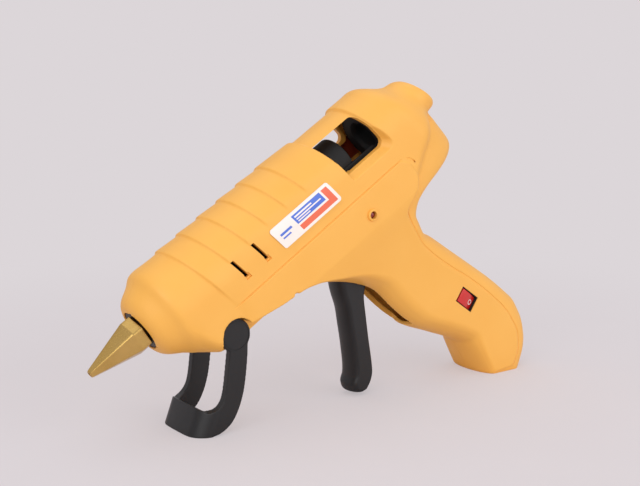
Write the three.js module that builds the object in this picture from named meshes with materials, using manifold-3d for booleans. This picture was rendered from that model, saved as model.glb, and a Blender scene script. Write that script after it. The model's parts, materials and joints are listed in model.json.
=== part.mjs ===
import * as THREE from 'three';
import { mergeVertices } from 'three/addons/utils/BufferGeometryUtils.js';
import Module from 'manifold-3d';

// A hot glue gun standing on its folding stand and the sole of its grip.
// Lengths are millimetres. The gun is modelled with its barrel level: x runs from the nozzle tip
// to the tail, y across, z up from the barrel axis. A group then tips it nose down and sets it down.

const wasm = await Module();
wasm.setup();

// General sizes
const rakeDegrees = 15;
const wall = 2.2;
const seam = 0.15;
const gap = 0.3;
const runningGap = 0.45;
const overrun = 4;

// Barrel
const frontFace = 24.5;
const lipRadius = 10.6;
const noseRun = 14.2;
const noseRadius = 20.6;
const barrelRadius = 20.1;
const ribRise = 0.8;
const ribStart = 59.2;
const ribPitch = 11.9;
const ribCount = 6;
const ribRun = 0.9;
const bellyDrop = 27.5;
const bellyCorner = 5;
const shoulderStart = 174;
const collarStart = 192.5;
const collarRadius = 10.9;
const collarLip = 4.6;
const collarRakeDegrees = 26;
const tailEnd = 203.5;
const nozzleHole = 9.7;

// Side panel and grip
const bodyLength = 208;
const gripDrop = 156;
const gripHalfWidth = 14;
const panelHalfWidth = 20.2;
const panelRise = 0.6;
const webHalfWidth = 17;
const soleEdge = 1.5;
const panelTop = 11.4;
const panelLead = 44;
const panelFoot = 21.6;
const panelFade = 24;
const panelRoll = 3;
const frontRounding = 11;

// Window, vents and inlet
const windowStart = 138.5;
const windowEnd = 161.5;
const windowTop = 17;
const windowSill = 1.5;
const windowBevel = 5;
const windowDepth = 6.6;
const windowCorner = 3;
const barDrop = 1.3;
const ventWidth = 1.7;
const ventTop = 6;
const ventFoot = 4.2;
const inletRadius = 9.1;

// Nozzle and melt chamber
const nozzleTip = 1.9;
const nozzleHex = 8.7;
const nozzleCone = 17.5;
const nozzleLength = 27.5;
const nozzleBore = 1.1;
const nozzleBoreRun = 9;
const threadRadius = 4.6;
const threadBore = 2.8;
const threadLength = 10;
const chamberEnd = 96;
const chamberRadius = 9.2;
const chamberCone = 6;
const stickBore = 6.1;
const spigotRadius = 7.4;
const spigotLength = 6;
const saddleStart = 46;
const saddleEnd = 84;
const saddleWidth = 14;
const saddleDrop = 10;
const heaterStart = 52;
const heaterLength = 28;
const heaterWidth = 12;
const heaterThick = 2.4;
const clampStart = 60;
const clampLength = 12;
const clampThick = 1;
const holderThick = 4;
const holderFoot = 14;
const frontHolderAt = 36;
const rearHolderAt = 86;
const sleeveLength = 22;
const sleeveWall = 2;
const sleeveLip = 7.2;
const clipAt = 98;
const clipThick = 1;
const clipLength = 1.6;
const clipEar = 2.4;

// Feed carriage, jaw and spring
const carriageStart = 126;
const carriageFloor = 9.8;
const carriageBase = 2.6;
const carriageWidth = 15;
const ringStart = 134;
const ringLength = 10;
const ringRadius = 11;
const ringBore = 6.5;
const runnerHeight = 3;
const railDepth = 2.1;
const railThick = 2;
const railRun = 26;
const cheekStart = 136;
const cheekEnd = 158;
const cheekIn = 10.9;
const cheekThick = 1;
const cheekTop = 3;
const drivePinAt = 130;
const drivePinDrop = 16;
const drivePinRadius = 1.8;
const driveWebWidth = 5.6;
const driveWebRun = 6;
const jawPivotAt = 148;
const jawThick = 1.6;
const jawHeight = 4.7;
const jawWidth = 7;
const jawHub = 1.9;
const jawPinRadius = 0.9;
const jawEarHeight = 4.6;
const springWire = 0.9;
const springRadius = 2.9;
const springCoils = 10;
const springDrop = 15;
const springHookAt = 154;
const springPostAt = 176;
const springPost = 1.9;
const guideStart = 160;
const guideEnd = 197;
const guideFlange = 10.5;
const guideFlangeThick = 3;
const guideRadius = 8.8;
const guideBore = 6.3;
const guideMouth = 7.9;
const guideMouthRun = 5;

// Trigger
const triggerPivotAt = 124;
const triggerPivotDrop = 38;
const triggerPinRadius = 2;
const triggerDrop = 62;
const triggerWidth = 13;
const triggerRounding = 6;
const triggerBack = 2.5;
const triggerHub = 5.5;
const triggerArm = 24.5;
const triggerArmWidth = 8.6;
const triggerArmThick = 3.2;
const triggerNotch = 14;
const triggerSlotWidth = 15.2;
const pivotBoss = 4.5;
const pivotBossReach = 8;
const pivotPinHalf = 13;

// Stand
const standPivotAt = 55.5;
const standPivotDrop = 22.7;
const standHalfWidth = 17;
const standThick = 3.5;
const standDisc = 6.2;
const standReach = 20.5;
const standDrop = 42.5137;
const standCorner = 8;
const standWallHeight = 14;
const standWallLean = 5.3;
const standStud = 2.4;
const standStudLength = 3;
const standRecess = 7.9;
const standRampEnd = 87;
const standRampDrop = 27;

// Switch, lamp and label
const switchLeanDegrees = 22.2;
const rockerLength = 11.2;
const rockerWidth = 7.6;
const rockerDepth = 4.8;
const rockerSlack = 0.5;
const rockerRise = 0.8;
const rockerTiltDegrees = 8;
const housingRim = 1;
const housingDepth = 9;
const housingPocket = 3.6;
const housingPivot = 1;
const terminalWidth = 4.8;
const terminalThick = 0.8;
const terminalLength = 6;
const terminalSpread = 3.6;
const lampAt = 138.7;
const lampDrop = 22.1;
const lensRadius = 1.5;
const lensLength = 3;
const lampRadius = 2.3;
const lampLength = 7;
const lampCollar = 4;
const labelStart = 92.6;
const labelLength = 35.3;
const labelTop = 5.3;
const labelFoot = 6;
const labelThick = 0.25;

// Screws, wires and cord inlet
const screwRadius = 1.25;
const screwHead = 2.8;
const screwHeadLength = 2;
const screwReach = 9;
const bossRadius = 3.3;
const wireRadius = 0.9;
const leadRadius = 0.6;
const cordHole = 4;
const cordHoleRise = 9.6;
const cordHoleRun = 9;
const crimpRadius = 2.2;
const crimpLength = 10;
const crimpSpread = 8;

const rake = Math.tan(THREE.MathUtils.degToRad(rakeDegrees));
const collarRake = Math.tan(THREE.MathUtils.degToRad(collarRakeDegrees));

// Nose outline: share of the run, share of the way from the lip to the full radius
const noseShares = [[0, 0.04], [0.06, 0.14], [0.18, 0.27], [0.3, 0.4], [0.44, 0.49], [0.74, 0.74], [1, 1]];
// Throat: share of the way to the ribs, share of the way from the round to the flat belly
const throatShares = [[0.15, 0.35], [0.3, 0.72], [0.46, 0.95], [0.62, 1], [1, 1]];
// The rib's height fades out between these shares of the radius above the axis
const ribFadeShares = [0.3, 0.55];
// Tail: share of the way to the collar, share of the barrel radius kept over the collar's
const tailShares = [[0.3, 0.86], [0.6, 0.52], [0.85, 0.18], [1, 0]];
const lipTurnShares = [0, 0.25, 0.5];
// Grip sections run from the front edge to the back edge of the side view. Each row gives the two
// edges as shares of the body length and the grip drop, the border of the raised panel as a share of
// the length, the half width as a share between the grip and the panel, and the front rounding.
const gripRowShares = [
  [0.433, 0.01, 0.972, 0.01, 0.826, -0.35, 0.15],
  [0.433, 0.06, 0.974, 0.065, 0.826, 0.6, 0.15],
  [0.433, 0.14, 0.99, 0.14, 0.826, 1, 0.15],
  [0.44, 0.172, 0.992, 0.185, 0.812, 1, 0.2],
  [0.459, 0.19, 0.98, 0.228, 0.782, 0.93, 0.3],
  [0.483, 0.211, 0.93, 0.248, 0.766, 0.85, 0.4],
  [0.507, 0.238, 0.858, 0.271, 0.757, 0.72, 0.55],
  [0.536, 0.27, 0.815, 0.306, 0.757, 0.55, 0.75],
  [0.572, 0.317, 0.797, 0.353, 0.753, 0.36, 0.95],
  [0.606, 0.385, 0.805, 0.405, 0.761, 0.2, 1],
  [0.623, 0.474, 0.837, 0.49, 0.791, 0.06, 1],
  [0.647, 0.564, 0.871, 0.574, 0.825, 0, 1],
  [0.7, 0.662, 0.905, 0.672, 0.857, 0, 1],
  [0.746, 0.74, 0.928, 0.753, 0.877, 0.02, 0.85],
  [0.763, 0.77, 0.935, 0.788, 0.881, 0.06, 0.5],
  [0.768, 0.83, 0.939, 0.835, 0.884, 0.12, 0.35],
  [0.769, 0.875, 0.936, 0.9, 0.876, 0.16, 0.3],
  [0.7692, 0.893, 0.926, 0.938, 0.862, 0.16, 0.3],
  [0.7696, 0.901, 0.903, 0.979, 0.84, 0.16, 0.3],
];
const soleFrontShare = 0.7712;
const soleBackShare = 0.868;
const soleStartShare = 0.90718502;
const switchAlongShare = 0.79952;
const switchDownShare = 0.62051;
const triggerSlotShares = [
  [0.507, 0.205], [0.567, 0.231], [0.63, 0.32], [0.658, 0.45], [0.667, 0.52],
  [0.663, 0.57], [0.62, 0.595], [0.567, 0.513], [0.538, 0.385], [0.48, 0.27],
];
// Screws: x as a share of the body length, depth as a share of the grip drop, seat of the panel width
const screwShares = [
  [0.24, -0.082, 0.5], [0.442, 0.143, 0.8], [0.77, 0.256, 0.7],
  [0.894, 0.141, 0.66], [0.808, 0.82, 0.52], [0.827, -0.088, 0.42],
];
const crimpAlongShare = 0.875;
const crimpDownShare = 0.82;
// Trigger: front x and drop, back x and drop, as shares of its drop below the pivot
const triggerRowShares = [
  [-0.09, -0.02, 0.09, 0.02], [-0.145, 0.11, 0.09, 0.16], [-0.185, 0.225, 0.06, 0.275],
  [-0.212, 0.34, -0.005, 0.35], [-0.265, 0.47, -0.07, 0.485], [-0.335, 0.635, -0.143, 0.645],
  [-0.438, 0.83, -0.23, 0.845], [-0.487, 0.87, -0.262, 0.905], [-0.5, 0.915, -0.31, 0.95],
  [-0.476, 0.955, -0.37, 0.98],
];
// Stand: forward reach and drop of its rear edge, then its front edge, as shares of its drop
const standRearShares = [[-0.145, 0], [-0.115, 0.414], [-0.089, 0.561], [-0.016, 0.805],
  [0.07, 0.94], [0.21, 1]];
const standFrontShares = [[0.385, 0.72], [0.345, 0.735], [0.313, 0.777], [0.208, 0.767],
  [0.15, 0.674], [0.115, 0.533], [0.087, 0.323], [0.068, 0.171]];

// Places that follow from the sizes above
const panelFace = panelHalfWidth + panelRise;
const gripFace = gripHalfWidth + panelRise;
const housingFace = gripHalfWidth - wall - gap;
const sleeveOuter = spigotRadius + gap + sleeveWall;
const jawPivotZ = -carriageFloor - carriageBase / 2;
const switchAt = bodyLength * switchAlongShare;
const switchDrop = gripDrop * switchDownShare;
const crimpX = bodyLength * crimpAlongShare;
const crimpZ = -gripDrop * crimpDownShare;
const wireBend = wireRadius * 3;

// The gun leans nose down until the foot of the stand and the front edge of the sole are level
const soleRun = bodyLength * soleFrontShare - standPivotAt;
const soleSpan = gripDrop * soleStartShare - standPivotDrop;
const pitch = Math.acos(standDrop / Math.hypot(soleRun, soleSpan)) - Math.atan2(soleRun, soleSpan);
const pitchDegrees = THREE.MathUtils.radToDeg(pitch);

// Shape helpers

function solid(geometry) {
  const bare = new THREE.BufferGeometry();
  bare.setAttribute('position', geometry.getAttribute('position'));
  bare.setIndex(geometry.index);
  const merged = mergeVertices(bare);
  const place = merged.attributes.position;
  const corner = [new THREE.Vector3(), new THREE.Vector3(), new THREE.Vector3()];
  const faces = [];
  let volume = 0;
  for (let i = 0; i < merged.index.count; i += 3) {
    const face = [merged.index.getX(i), merged.index.getX(i + 1), merged.index.getX(i + 2)];
    if (face[0] === face[1] || face[1] === face[2] || face[2] === face[0]) continue;
    corner.forEach((point, k) => point.fromBufferAttribute(place, face[k]));
    volume += corner[0].dot(corner[1].clone().cross(corner[2]));
    faces.push(face);
  }
  if (volume < 0) faces.forEach((face) => face.reverse());
  const mesh = new wasm.Mesh({
    numProp: 3,
    vertProperties: new Float32Array(place.array),
    triVerts: new Uint32Array(faces.flat()),
  });
  return new wasm.Manifold(mesh);
}

function geometryOf(body) {
  const mesh = body.getMesh();
  const geometry = new THREE.BufferGeometry();
  geometry.setAttribute('position', new THREE.BufferAttribute(mesh.vertProperties.slice(), 3));
  geometry.setIndex(new THREE.BufferAttribute(mesh.triVerts.slice(), 1));
  geometry.computeVertexNormals();
  return geometry;
}

function join(first, ...rest) {
  return rest.reduce((whole, next) => whole.add(next), first);
}

function cut(first, ...rest) {
  return rest.reduce((whole, next) => whole.subtract(next), first);
}

function common(first, second) {
  return first.intersect(second);
}

function box(x0, x1, y0, y1, z0, z1) {
  const geometry = new THREE.BoxGeometry(x1 - x0, y1 - y0, z1 - z0);
  geometry.translate((x0 + x1) / 2, (y0 + y1) / 2, (z0 + z1) / 2);
  return solid(geometry);
}

// A round bar across the gun
function crossBar(x, z, radius, y0, y1, sides = 16) {
  const geometry = new THREE.CylinderGeometry(radius, radius, Math.abs(y1 - y0), sides);
  geometry.translate(x, (y0 + y1) / 2, z);
  return solid(geometry);
}

// A turned piece along the barrel axis, from a closed profile of [x, radius] points
function turned(profile, sides = 24) {
  const points = [...profile, profile[0]].map(([x, radius]) => new THREE.Vector2(radius, x));
  const geometry = new THREE.LatheGeometry(points, sides);
  geometry.rotateZ(-Math.PI / 2);
  return solid(geometry);
}

// A side-view outline with rounded corners, given as [x, z, radius]
function roundedShape(corners, steps = 5) {
  const shape = new THREE.Shape();
  const count = corners.length;
  corners.forEach(([x, z, radius], i) => {
    const here = new THREE.Vector2(x, z);
    const before = new THREE.Vector2(...corners[(i + count - 1) % count].slice(0, 2)).sub(here);
    const after = new THREE.Vector2(...corners[(i + 1) % count].slice(0, 2)).sub(here);
    const half = Math.abs(before.angleTo(after)) / 2;
    const reach = radius > 0 ? radius / Math.tan(half) : 0;
    const enter = here.clone().addScaledVector(before.normalize(), reach);
    const leave = here.clone().addScaledVector(after.normalize(), reach);
    if (i === 0) shape.moveTo(enter.x, enter.y);
    else shape.lineTo(enter.x, enter.y);
    if (radius > 0) {
      const bend = new THREE.QuadraticBezierCurve(enter, here, leave);
      bend.getPoints(steps).slice(1).forEach((point) => shape.lineTo(point.x, point.y));
    }
  });
  shape.closePath();
  return shape;
}

// A side-view shape given thickness across the gun
function sidePlate(shape, y0, y1) {
  const geometry = new THREE.ExtrudeGeometry(shape, { depth: y1 - y0, bevelEnabled: false });
  geometry.rotateX(Math.PI / 2);
  geometry.translate(0, y1, 0);
  return solid(geometry);
}

function circle(radius, sides) {
  return new THREE.Shape(new THREE.EllipseCurve(0, 0, radius, radius).getPoints(sides).slice(0, sides));
}

// A round wire along a smooth line through the given points
function wireAlong(points, radius, steps, sides = 6) {
  const path = new THREE.CatmullRomCurve3(points.map((point) => new THREE.Vector3(...point)));
  const geometry = new THREE.ExtrudeGeometry(circle(radius, sides), { steps, extrudePath: path });
  return solid(geometry);
}

// A closed skin through rings that all have the same number of points
function loft(rings) {
  const count = rings[0].length;
  const points = rings.flat();
  const index = [];
  for (let i = 0; i < rings.length - 1; i += 1) {
    for (let j = 0; j < count; j += 1) {
      const a = i * count + j;
      const b = i * count + ((j + 1) % count);
      index.push(a, b, b + count, a, b + count, a + count);
    }
  }
  [0, rings.length - 1].forEach((end) => {
    const middle = new THREE.Vector3();
    rings[end].forEach((point) => middle.addScaledVector(point, 1 / count));
    points.push(middle);
    for (let j = 0; j < count; j += 1) {
      const edge = [end * count + j, end * count + ((j + 1) % count)];
      if (end === 0) edge.reverse();
      index.push(points.length - 1, ...edge);
    }
  });
  const geometry = new THREE.BufferGeometry();
  const flat = points.flatMap((point) => [point.x, point.y, point.z]);
  geometry.setAttribute('position', new THREE.Float32BufferAttribute(flat, 3));
  geometry.setIndex(index);
  return solid(geometry);
}

// Barrel sections: a half circle above the axis, straight sides and a rounded floor below it

function barrelRing({ at, radius, drop, corner, lean, rise }, inset) {
  const topSteps = 12;
  const cornerSteps = 3;
  const ring = [];
  const round = radius - inset;
  const floor = drop - inset;
  const bend = Math.max(corner - inset, wall);
  const add = (y, z) => ring.push(new THREE.Vector3(at - z * lean, y, z));
  for (let i = 1; i < topSteps; i += 1) {
    const angle = (Math.PI * i) / topSteps;
    const fade = THREE.MathUtils.smoothstep(Math.sin(angle), ribFadeShares[0], ribFadeShares[1]);
    const reach = round + rise * fade;
    add(reach * Math.cos(angle), reach * Math.sin(angle));
  }
  [-1, 1].forEach((side) => {
    for (let i = 0; i <= cornerSteps; i += 1) {
      const step = side < 0 ? i : cornerSteps - i;
      const angle = (Math.PI / 2) * (step / cornerSteps);
      const y = round - bend + bend * Math.cos(angle);
      add(side * y, -(floor - bend) - bend * Math.sin(angle));
    }
  });
  return ring;
}

function barrelStation(at, radius, drop = radius, corner = radius, lean = 0, rise = 0) {
  return { at, radius, drop, corner, lean, rise };
}

function noseStations() {
  return noseShares.map(([along, out]) => {
    const radius = THREE.MathUtils.lerp(lipRadius, noseRadius, out);
    return barrelStation(frontFace + noseRun * along, radius);
  });
}

function throatStations() {
  const start = frontFace + noseRun;
  const run = ribStart - ribRun - start;
  return throatShares.map(([along, fill]) => {
    const drop = THREE.MathUtils.lerp(noseRadius, bellyDrop, fill);
    const corner = THREE.MathUtils.lerp(noseRadius, bellyCorner, fill);
    const radius = THREE.MathUtils.lerp(noseRadius, barrelRadius, along);
    return barrelStation(start + run * along, radius, drop, corner, rake * along);
  });
}

function ribStations() {
  const stations = [];
  for (let i = 0; i < ribCount; i += 1) {
    const at = ribStart + i * ribPitch;
    const end = i === ribCount - 1 ? windowStart : at + ribPitch;
    stations.push(barrelStation(at, barrelRadius, bellyDrop, bellyCorner, rake, ribRise));
    stations.push(barrelStation(end - ribRun, barrelRadius, bellyDrop, bellyCorner, rake, 0));
  }
  return stations;
}

function rearStations() {
  return [
    barrelStation(windowStart, barrelRadius, bellyDrop, bellyCorner, rake, -barDrop),
    barrelStation(windowEnd - ribRun, barrelRadius, bellyDrop, bellyCorner, rake, -barDrop),
    barrelStation(windowEnd, barrelRadius, bellyDrop, bellyCorner, rake),
    barrelStation(shoulderStart, barrelRadius, collarRadius, collarRadius, rake),
  ];
}

// The tail narrows from the shoulder to the round collar at the stick inlet
function tailStations() {
  return tailShares.map(([along, out]) => {
    const at = THREE.MathUtils.lerp(shoulderStart, collarStart, along);
    const radius = THREE.MathUtils.lerp(collarRadius, barrelRadius, out);
    const lean = THREE.MathUtils.lerp(rake, collarRake, along);
    return barrelStation(at, radius, collarRadius, collarRadius, lean);
  });
}

// The collar's raked end has a rounded lip
function collarStations() {
  return lipTurnShares.map((turn) => {
    const at = tailEnd - collarLip * (1 - Math.sin(Math.PI * turn));
    const radius = collarRadius - collarLip * (1 - Math.cos(Math.PI * turn));
    return barrelStation(at, radius, radius, radius, collarRake);
  });
}

function barrelBody(inset) {
  const body = [...noseStations(), ...throatStations(), ...ribStations(), ...rearStations()];
  body.push(...tailStations());
  if (inset === 0) {
    body.push(...collarStations());
    return loft(body.map((station) => barrelRing(station, 0)));
  }
  const inner = body.filter(({ at }) => at > frontFace + inset * 2);
  return loft(inner.map((station) => barrelRing({ ...station, rise: Math.min(station.rise, 0) }, inset)));
}

// The sole lies flat on the ground when the gun is tipped nose down
function soleRow() {
  const row = gripRow(gripRowShares[gripRowShares.length - 1]);
  const frontX = bodyLength * soleFrontShare;
  const backX = bodyLength * soleBackShare;
  const frontZ = -gripDrop * soleStartShare;
  row.front.set(frontX, 0, frontZ);
  row.back.set(backX, 0, frontZ - (backX - frontX) * Math.tan(pitch));
  row.half -= soleEdge;
  return row;
}

function gripRow([frontX, frontZ, backX, backZ, borderX, width, round]) {
  return {
    front: new THREE.Vector3(bodyLength * frontX, 0, -gripDrop * frontZ),
    back: new THREE.Vector3(bodyLength * backX, 0, -gripDrop * backZ),
    border: bodyLength * borderX,
    half: THREE.MathUtils.lerp(gripHalfWidth, panelHalfWidth, width),
    round: frontRounding * round,
  };
}

// A grip section: a quarter ellipse at the front, flat sides and a quarter ellipse at the back
function gripRing({ front, back, half, round, backRound }) {
  const steps = 5;
  const along = back.clone().sub(front);
  const length = along.length();
  along.normalize();
  const side = [];
  for (let i = 0; i <= steps; i += 1) {
    const turn = (Math.PI / 2) * (i / steps);
    side.push([round * (1 - Math.cos(turn)), half * Math.sin(turn)]);
  }
  for (let i = 0; i <= steps; i += 1) {
    const turn = (Math.PI / 2) * (i / steps);
    side.push([length - backRound * (1 - Math.sin(turn)), half * Math.cos(turn)]);
  }
  const near = side.slice(1, -1).map(([distance, y]) => [distance, -y]);
  return [...near, ...side.reverse()].map(([distance, y]) => (
    front.clone().addScaledVector(along, distance).setY(y)));
}

function gripBody(inset) {
  const rows = gripRowShares.map(gripRow);
  rows.push(soleRow());
  const rings = rows.map(({ front, back, border, half, round }) => {
    const along = back.clone().sub(front).normalize();
    const backRound = Math.max((back.x - border) / along.x, panelRoll);
    return gripRing({
      front: front.clone().addScaledVector(along, inset),
      back: back.clone().addScaledVector(along, -inset),
      half: Math.min(half, webHalfWidth) - inset,
      round: Math.max(round - inset / 2, wall / 2),
      backRound: Math.max(backRound - inset, wall),
    });
  });
  if (inset > 0) {
    rings.splice(-3, 3);
    rings[0].forEach((point) => point.setZ(point.z - inset));
  }
  return loft(rings);
}

// The raised side panel follows the grip rows and runs forward along the barrel. Its inside is
// only needed where the panel is wider than the web behind it.
function panelBody(inset) {
  const every = gripRowShares.slice(1).map(gripRow);
  const rows = inset === 0 ? every : every.filter(({ half }) => half > webHalfWidth);
  [panelTop + inset, panelFoot].forEach((drop, i) => {
    rows[i].front.setZ(-drop);
    rows[i].back.setZ(-drop);
    rows[i].half = panelHalfWidth;
  });
  if (inset === 0) {
    rows.slice(0, 2).forEach((row) => {
      row.front.setX(panelLead);
      row.round = panelFade;
    });
    rows[2].front.set(rows[2].front.x - panelRoll, 0, -bellyDrop + ribRise / 2);
  }
  const rings = rows.map(({ front, back, border, half, round }) => {
    const along = back.clone().sub(front).normalize();
    const roll = panelRoll * 4;
    const face = half + panelRise;
    const past = roll * (1 - Math.sqrt(1 - (Math.min(half, webHalfWidth) / face) ** 2));
    return gripRing({
      front: front.clone().addScaledVector(along, panelRise + inset),
      back: front.clone().addScaledVector(along, (border - front.x) / along.x + past - inset),
      half: face - inset,
      round: Math.max(round, panelRoll),
      backRound: roll - inset,
    });
  });
  return loft(rings);
}

// Shell openings and fittings

function windowCut(y0, y1, grow = 0) {
  const outline = (spread) => {
    const rear = windowEnd + spread;
    const foot = -windowSill - spread;
    return roundedShape([
      [windowStart + windowSill * rake, foot, 0],
      [rear + windowSill * rake, foot, windowCorner],
      [rear - windowTop * rake, windowTop, windowCorner],
      [windowStart - windowTop * rake, windowTop, 0],
    ], 3).getPoints();
  };
  const near = outline(0);
  const far = outline(windowBevel * grow);
  return loft([
    near.map((point) => new THREE.Vector3(point.x, y0, point.y)),
    far.map((point) => new THREE.Vector3(point.x, y1, point.y)),
  ]);
}

// The bevel round the window's rear and foot, and with spread the material behind it
function windowFrame(side, spread) {
  const outside = barrelRadius + panelRise + gap;
  const inside = outside - windowDepth - spread;
  return windowCut(side * inside, side * outside, 1).translate(spread, 0, -spread);
}

// The wall under the window's front corner
function windowFoot(side) {
  const inside = barrelRadius + panelRise + gap - windowDepth - wall;
  const y = [side * inside, side * barrelRadius].sort((a, b) => a - b);
  const foot = -windowSill - windowBevel - wall;
  return box(windowStart - wall, windowStart + windowBevel, ...y, foot, -windowSill);
}

function ventCut(side, at) {
  const outline = roundedShape([
    [at + ventFoot * rake, -ventFoot, 0],
    [at + ventWidth + ventFoot * rake, -ventFoot, 0],
    [at + ventWidth - ventTop * rake, ventTop, 0],
    [at - ventTop * rake, ventTop, 0],
  ]);
  const y = [side * (barrelRadius - wall * 2), side * (barrelRadius + overrun)].sort((a, b) => a - b);
  return sidePlate(outline, ...y);
}

// The pocket for one leg of the stand, opening to the belly, and with spread its wall
function standPocket(side, spread) {
  const inside = side * (standHalfWidth - standThick - gap - spread);
  const y = [inside, side * (panelHalfWidth + overrun)].sort((a, b) => a - b);
  const disc = crossBar(standPivotAt, -standPivotDrop, standRecess + spread, ...y, 24);
  const ramp = sidePlate(roundedShape([
    [standPivotAt - standRecess - spread, -standPivotDrop, 0],
    [standPivotAt - standRecess - spread, -bellyDrop - overrun, 0],
    [standRampEnd + spread, -bellyDrop - overrun, 0],
    [standRampEnd + spread, -standRampDrop + spread, 0],
    [standPivotAt + standDisc, -panelFoot + spread, 0],
  ]), ...y);
  return join(disc, ramp);
}

function triggerSlot() {
  const outline = triggerSlotShares.map(([x, z]) => [bodyLength * x, -gripDrop * z, 0]);
  return sidePlate(roundedShape(outline), -triggerSlotWidth / 2, triggerSlotWidth / 2);
}

// Places a piece that was drawn upright at the rocker switch: x along it, z outward
function atSwitch(body) {
  const lean = 90 - switchLeanDegrees;
  return body.rotate([90, 0, 0]).rotate([0, lean, 0]).translate(switchAt, 0, -switchDrop);
}

function switchOpening() {
  const halfLength = rockerLength / 2 + rockerSlack;
  const halfWidth = rockerWidth / 2 + gap;
  const inside = housingFace - gap;
  return atSwitch(box(-halfLength, halfLength, -halfWidth, halfWidth, inside, gripFace + overrun));
}

// The cord's way out is level when the gun stands on its sole
function cordOpening() {
  const flat = new THREE.Vector3(Math.cos(pitch), 0, -Math.sin(pitch));
  const up = new THREE.Vector3(Math.sin(pitch), 0, Math.cos(pitch));
  const sole = soleRow();
  const middle = sole.back.clone().addScaledVector(up, cordHoleRise);
  const bar = turned([[0, 0], [0, cordHole], [cordHoleRun + gripHalfWidth, cordHole],
    [cordHoleRun + gripHalfWidth, 0]], 16);
  const start = middle.addScaledVector(flat, -cordHoleRun);
  return bar.rotate([0, pitchDegrees, 0]).translate(start.x, 0, start.z);
}

const screwPlaces = screwShares.map(([x, z, y]) => ({
  x: bodyLength * x,
  z: -gripDrop * z,
  seat: panelHalfWidth * y,
}));

function shellFittings() {
  const bosses = screwPlaces.map(({ x, z }) => crossBar(x, z, bossRadius, -panelFace, panelFace, 14));
  const pieces = [-1, 1].flatMap((side) => {
    const out = side * panelFace;
    const railTop = -carriageFloor - carriageBase - gap;
    const railIn = side * (barrelRadius - wall - railDepth);
    const rear = ringStart + ringLength + gap;
    return [
      crossBar(triggerPivotAt, -triggerPivotDrop, pivotBoss, side * pivotBossReach, out, 18),
      box(rear - railRun, rear, railIn, side * barrelRadius, railTop - railThick, railTop),
      standPocket(side, wall),
      windowFrame(side, wall),
      windowFoot(side),
    ];
  });
  const post = crossBar(springPostAt, -springDrop, springPost, -panelFace, panelFace, 12);
  const lamp = crossBar(lampAt, -lampDrop, lampCollar, -panelFace, -panelFace + lampLength, 18);
  return join(post, lamp, ...bosses, ...pieces);
}

function shellHoles() {
  const screws = screwPlaces.flatMap(({ x, z, seat }) => [
    crossBar(x, z, screwRadius + gap, -screwReach - gap, seat, 12),
    crossBar(x, z, screwHead + gap, seat - gap, panelFace + overrun, 16),
  ]);
  const sides = [-1, 1].flatMap((side) => [
    windowFrame(side, 0),
    standPocket(side, 0),
    ventCut(side, ribStart + ribPitch),
    ventCut(side, ribStart + ribPitch * 2),
    standStudHole(side),
  ]);
  const nozzle = turned([[frontFace - overrun, 0], [frontFace - overrun, nozzleHole],
    [frontFace + noseRun / 2, nozzleHole], [frontFace + noseRun / 2, 0]]);
  const inletEnd = tailEnd + collarRadius;
  const inlet = turned([[shoulderStart, 0], [shoulderStart, inletRadius], [inletEnd, inletRadius],
    [inletEnd, 0]]);
  const pin = crossBar(triggerPivotAt, -triggerPivotDrop, triggerPinRadius + gap,
    -pivotPinHalf - gap, pivotPinHalf + gap, 14);
  const lampEndFace = -panelFace + lampLength;
  const lens = crossBar(lampAt, -lampDrop, lensRadius + gap, -panelFace - overrun, lampEndFace, 14);
  const lamp = crossBar(lampAt, -lampDrop, lampRadius + gap, -panelFace + lensLength, lampEndFace + gap, 14);
  const feed = windowCut(-barrelRadius, barrelRadius);
  const openings = [feed, triggerSlot(), switchOpening(), cordOpening()];
  return [nozzle, inlet, pin, lens, lamp, ...openings, ...screws, ...sides];
}

function standStudHole(side) {
  const face = side * (standHalfWidth - standThick);
  const end = face - side * (standStudLength + gap);
  return crossBar(standPivotAt, -standPivotDrop, standStud + gap, ...[face, end].sort((a, b) => a - b), 14);
}

// The two shell halves meet at the middle of the gun
function shellWhole() {
  const outer = join(barrelBody(0), gripBody(0), panelBody(0));
  const inner = join(barrelBody(wall), gripBody(wall), panelBody(wall));
  const ring = crossBar(lampAt, -lampDrop, lampRadius, -panelFace - panelRise, -panelHalfWidth, 18);
  const studRadius = standStud + wall;
  const studs = [-1, 1].map((side) => crossBar(standPivotAt, -standPivotDrop, studRadius,
    side * pivotBossReach, side * standHalfWidth, 18));
  const filled = join(cut(outer, inner), common(join(shellFittings(), ...studs), outer), ring);
  return cut(filled, ...shellHoles());
}

// Nozzle and heater

function nozzlePiece() {
  const cone = turned([[0, nozzleBore], [0, nozzleTip], [nozzleCone, nozzleHex], [nozzleLength, nozzleHex],
    [nozzleLength, nozzleBore]], 6);
  const thread = turned([[nozzleLength - wall, nozzleBore], [nozzleLength - wall, threadRadius],
    [nozzleLength + threadLength, threadRadius], [nozzleLength + threadLength, nozzleBore]]);
  const bore = turned([[nozzleBoreRun, 0], [nozzleBoreRun, nozzleBore], [nozzleBoreRun * 2, threadBore],
    [nozzleLength + threadLength + overrun, threadBore], [nozzleLength + threadLength + overrun, 0]], 16);
  return cut(join(cone, thread), bore);
}

function chamberPiece() {
  const start = nozzleLength + gap;
  const socketEnd = nozzleLength + threadLength + gap;
  const end = chamberEnd + spigotLength;
  const body = turned([[start, 0], [start, chamberRadius], [chamberEnd, chamberRadius],
    [chamberEnd, spigotRadius], [end, spigotRadius], [end, 0]]);
  const saddle = box(saddleStart, saddleEnd, -saddleWidth / 2, saddleWidth / 2, -saddleDrop, 0);
  const bore = turned([[start - overrun, 0], [start - overrun, threadRadius + gap],
    [socketEnd, threadRadius + gap], [socketEnd, threadBore], [socketEnd + chamberCone, stickBore],
    [end + overrun, stickBore], [end + overrun, 0]]);
  return cut(join(body, saddle), bore);
}

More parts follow.
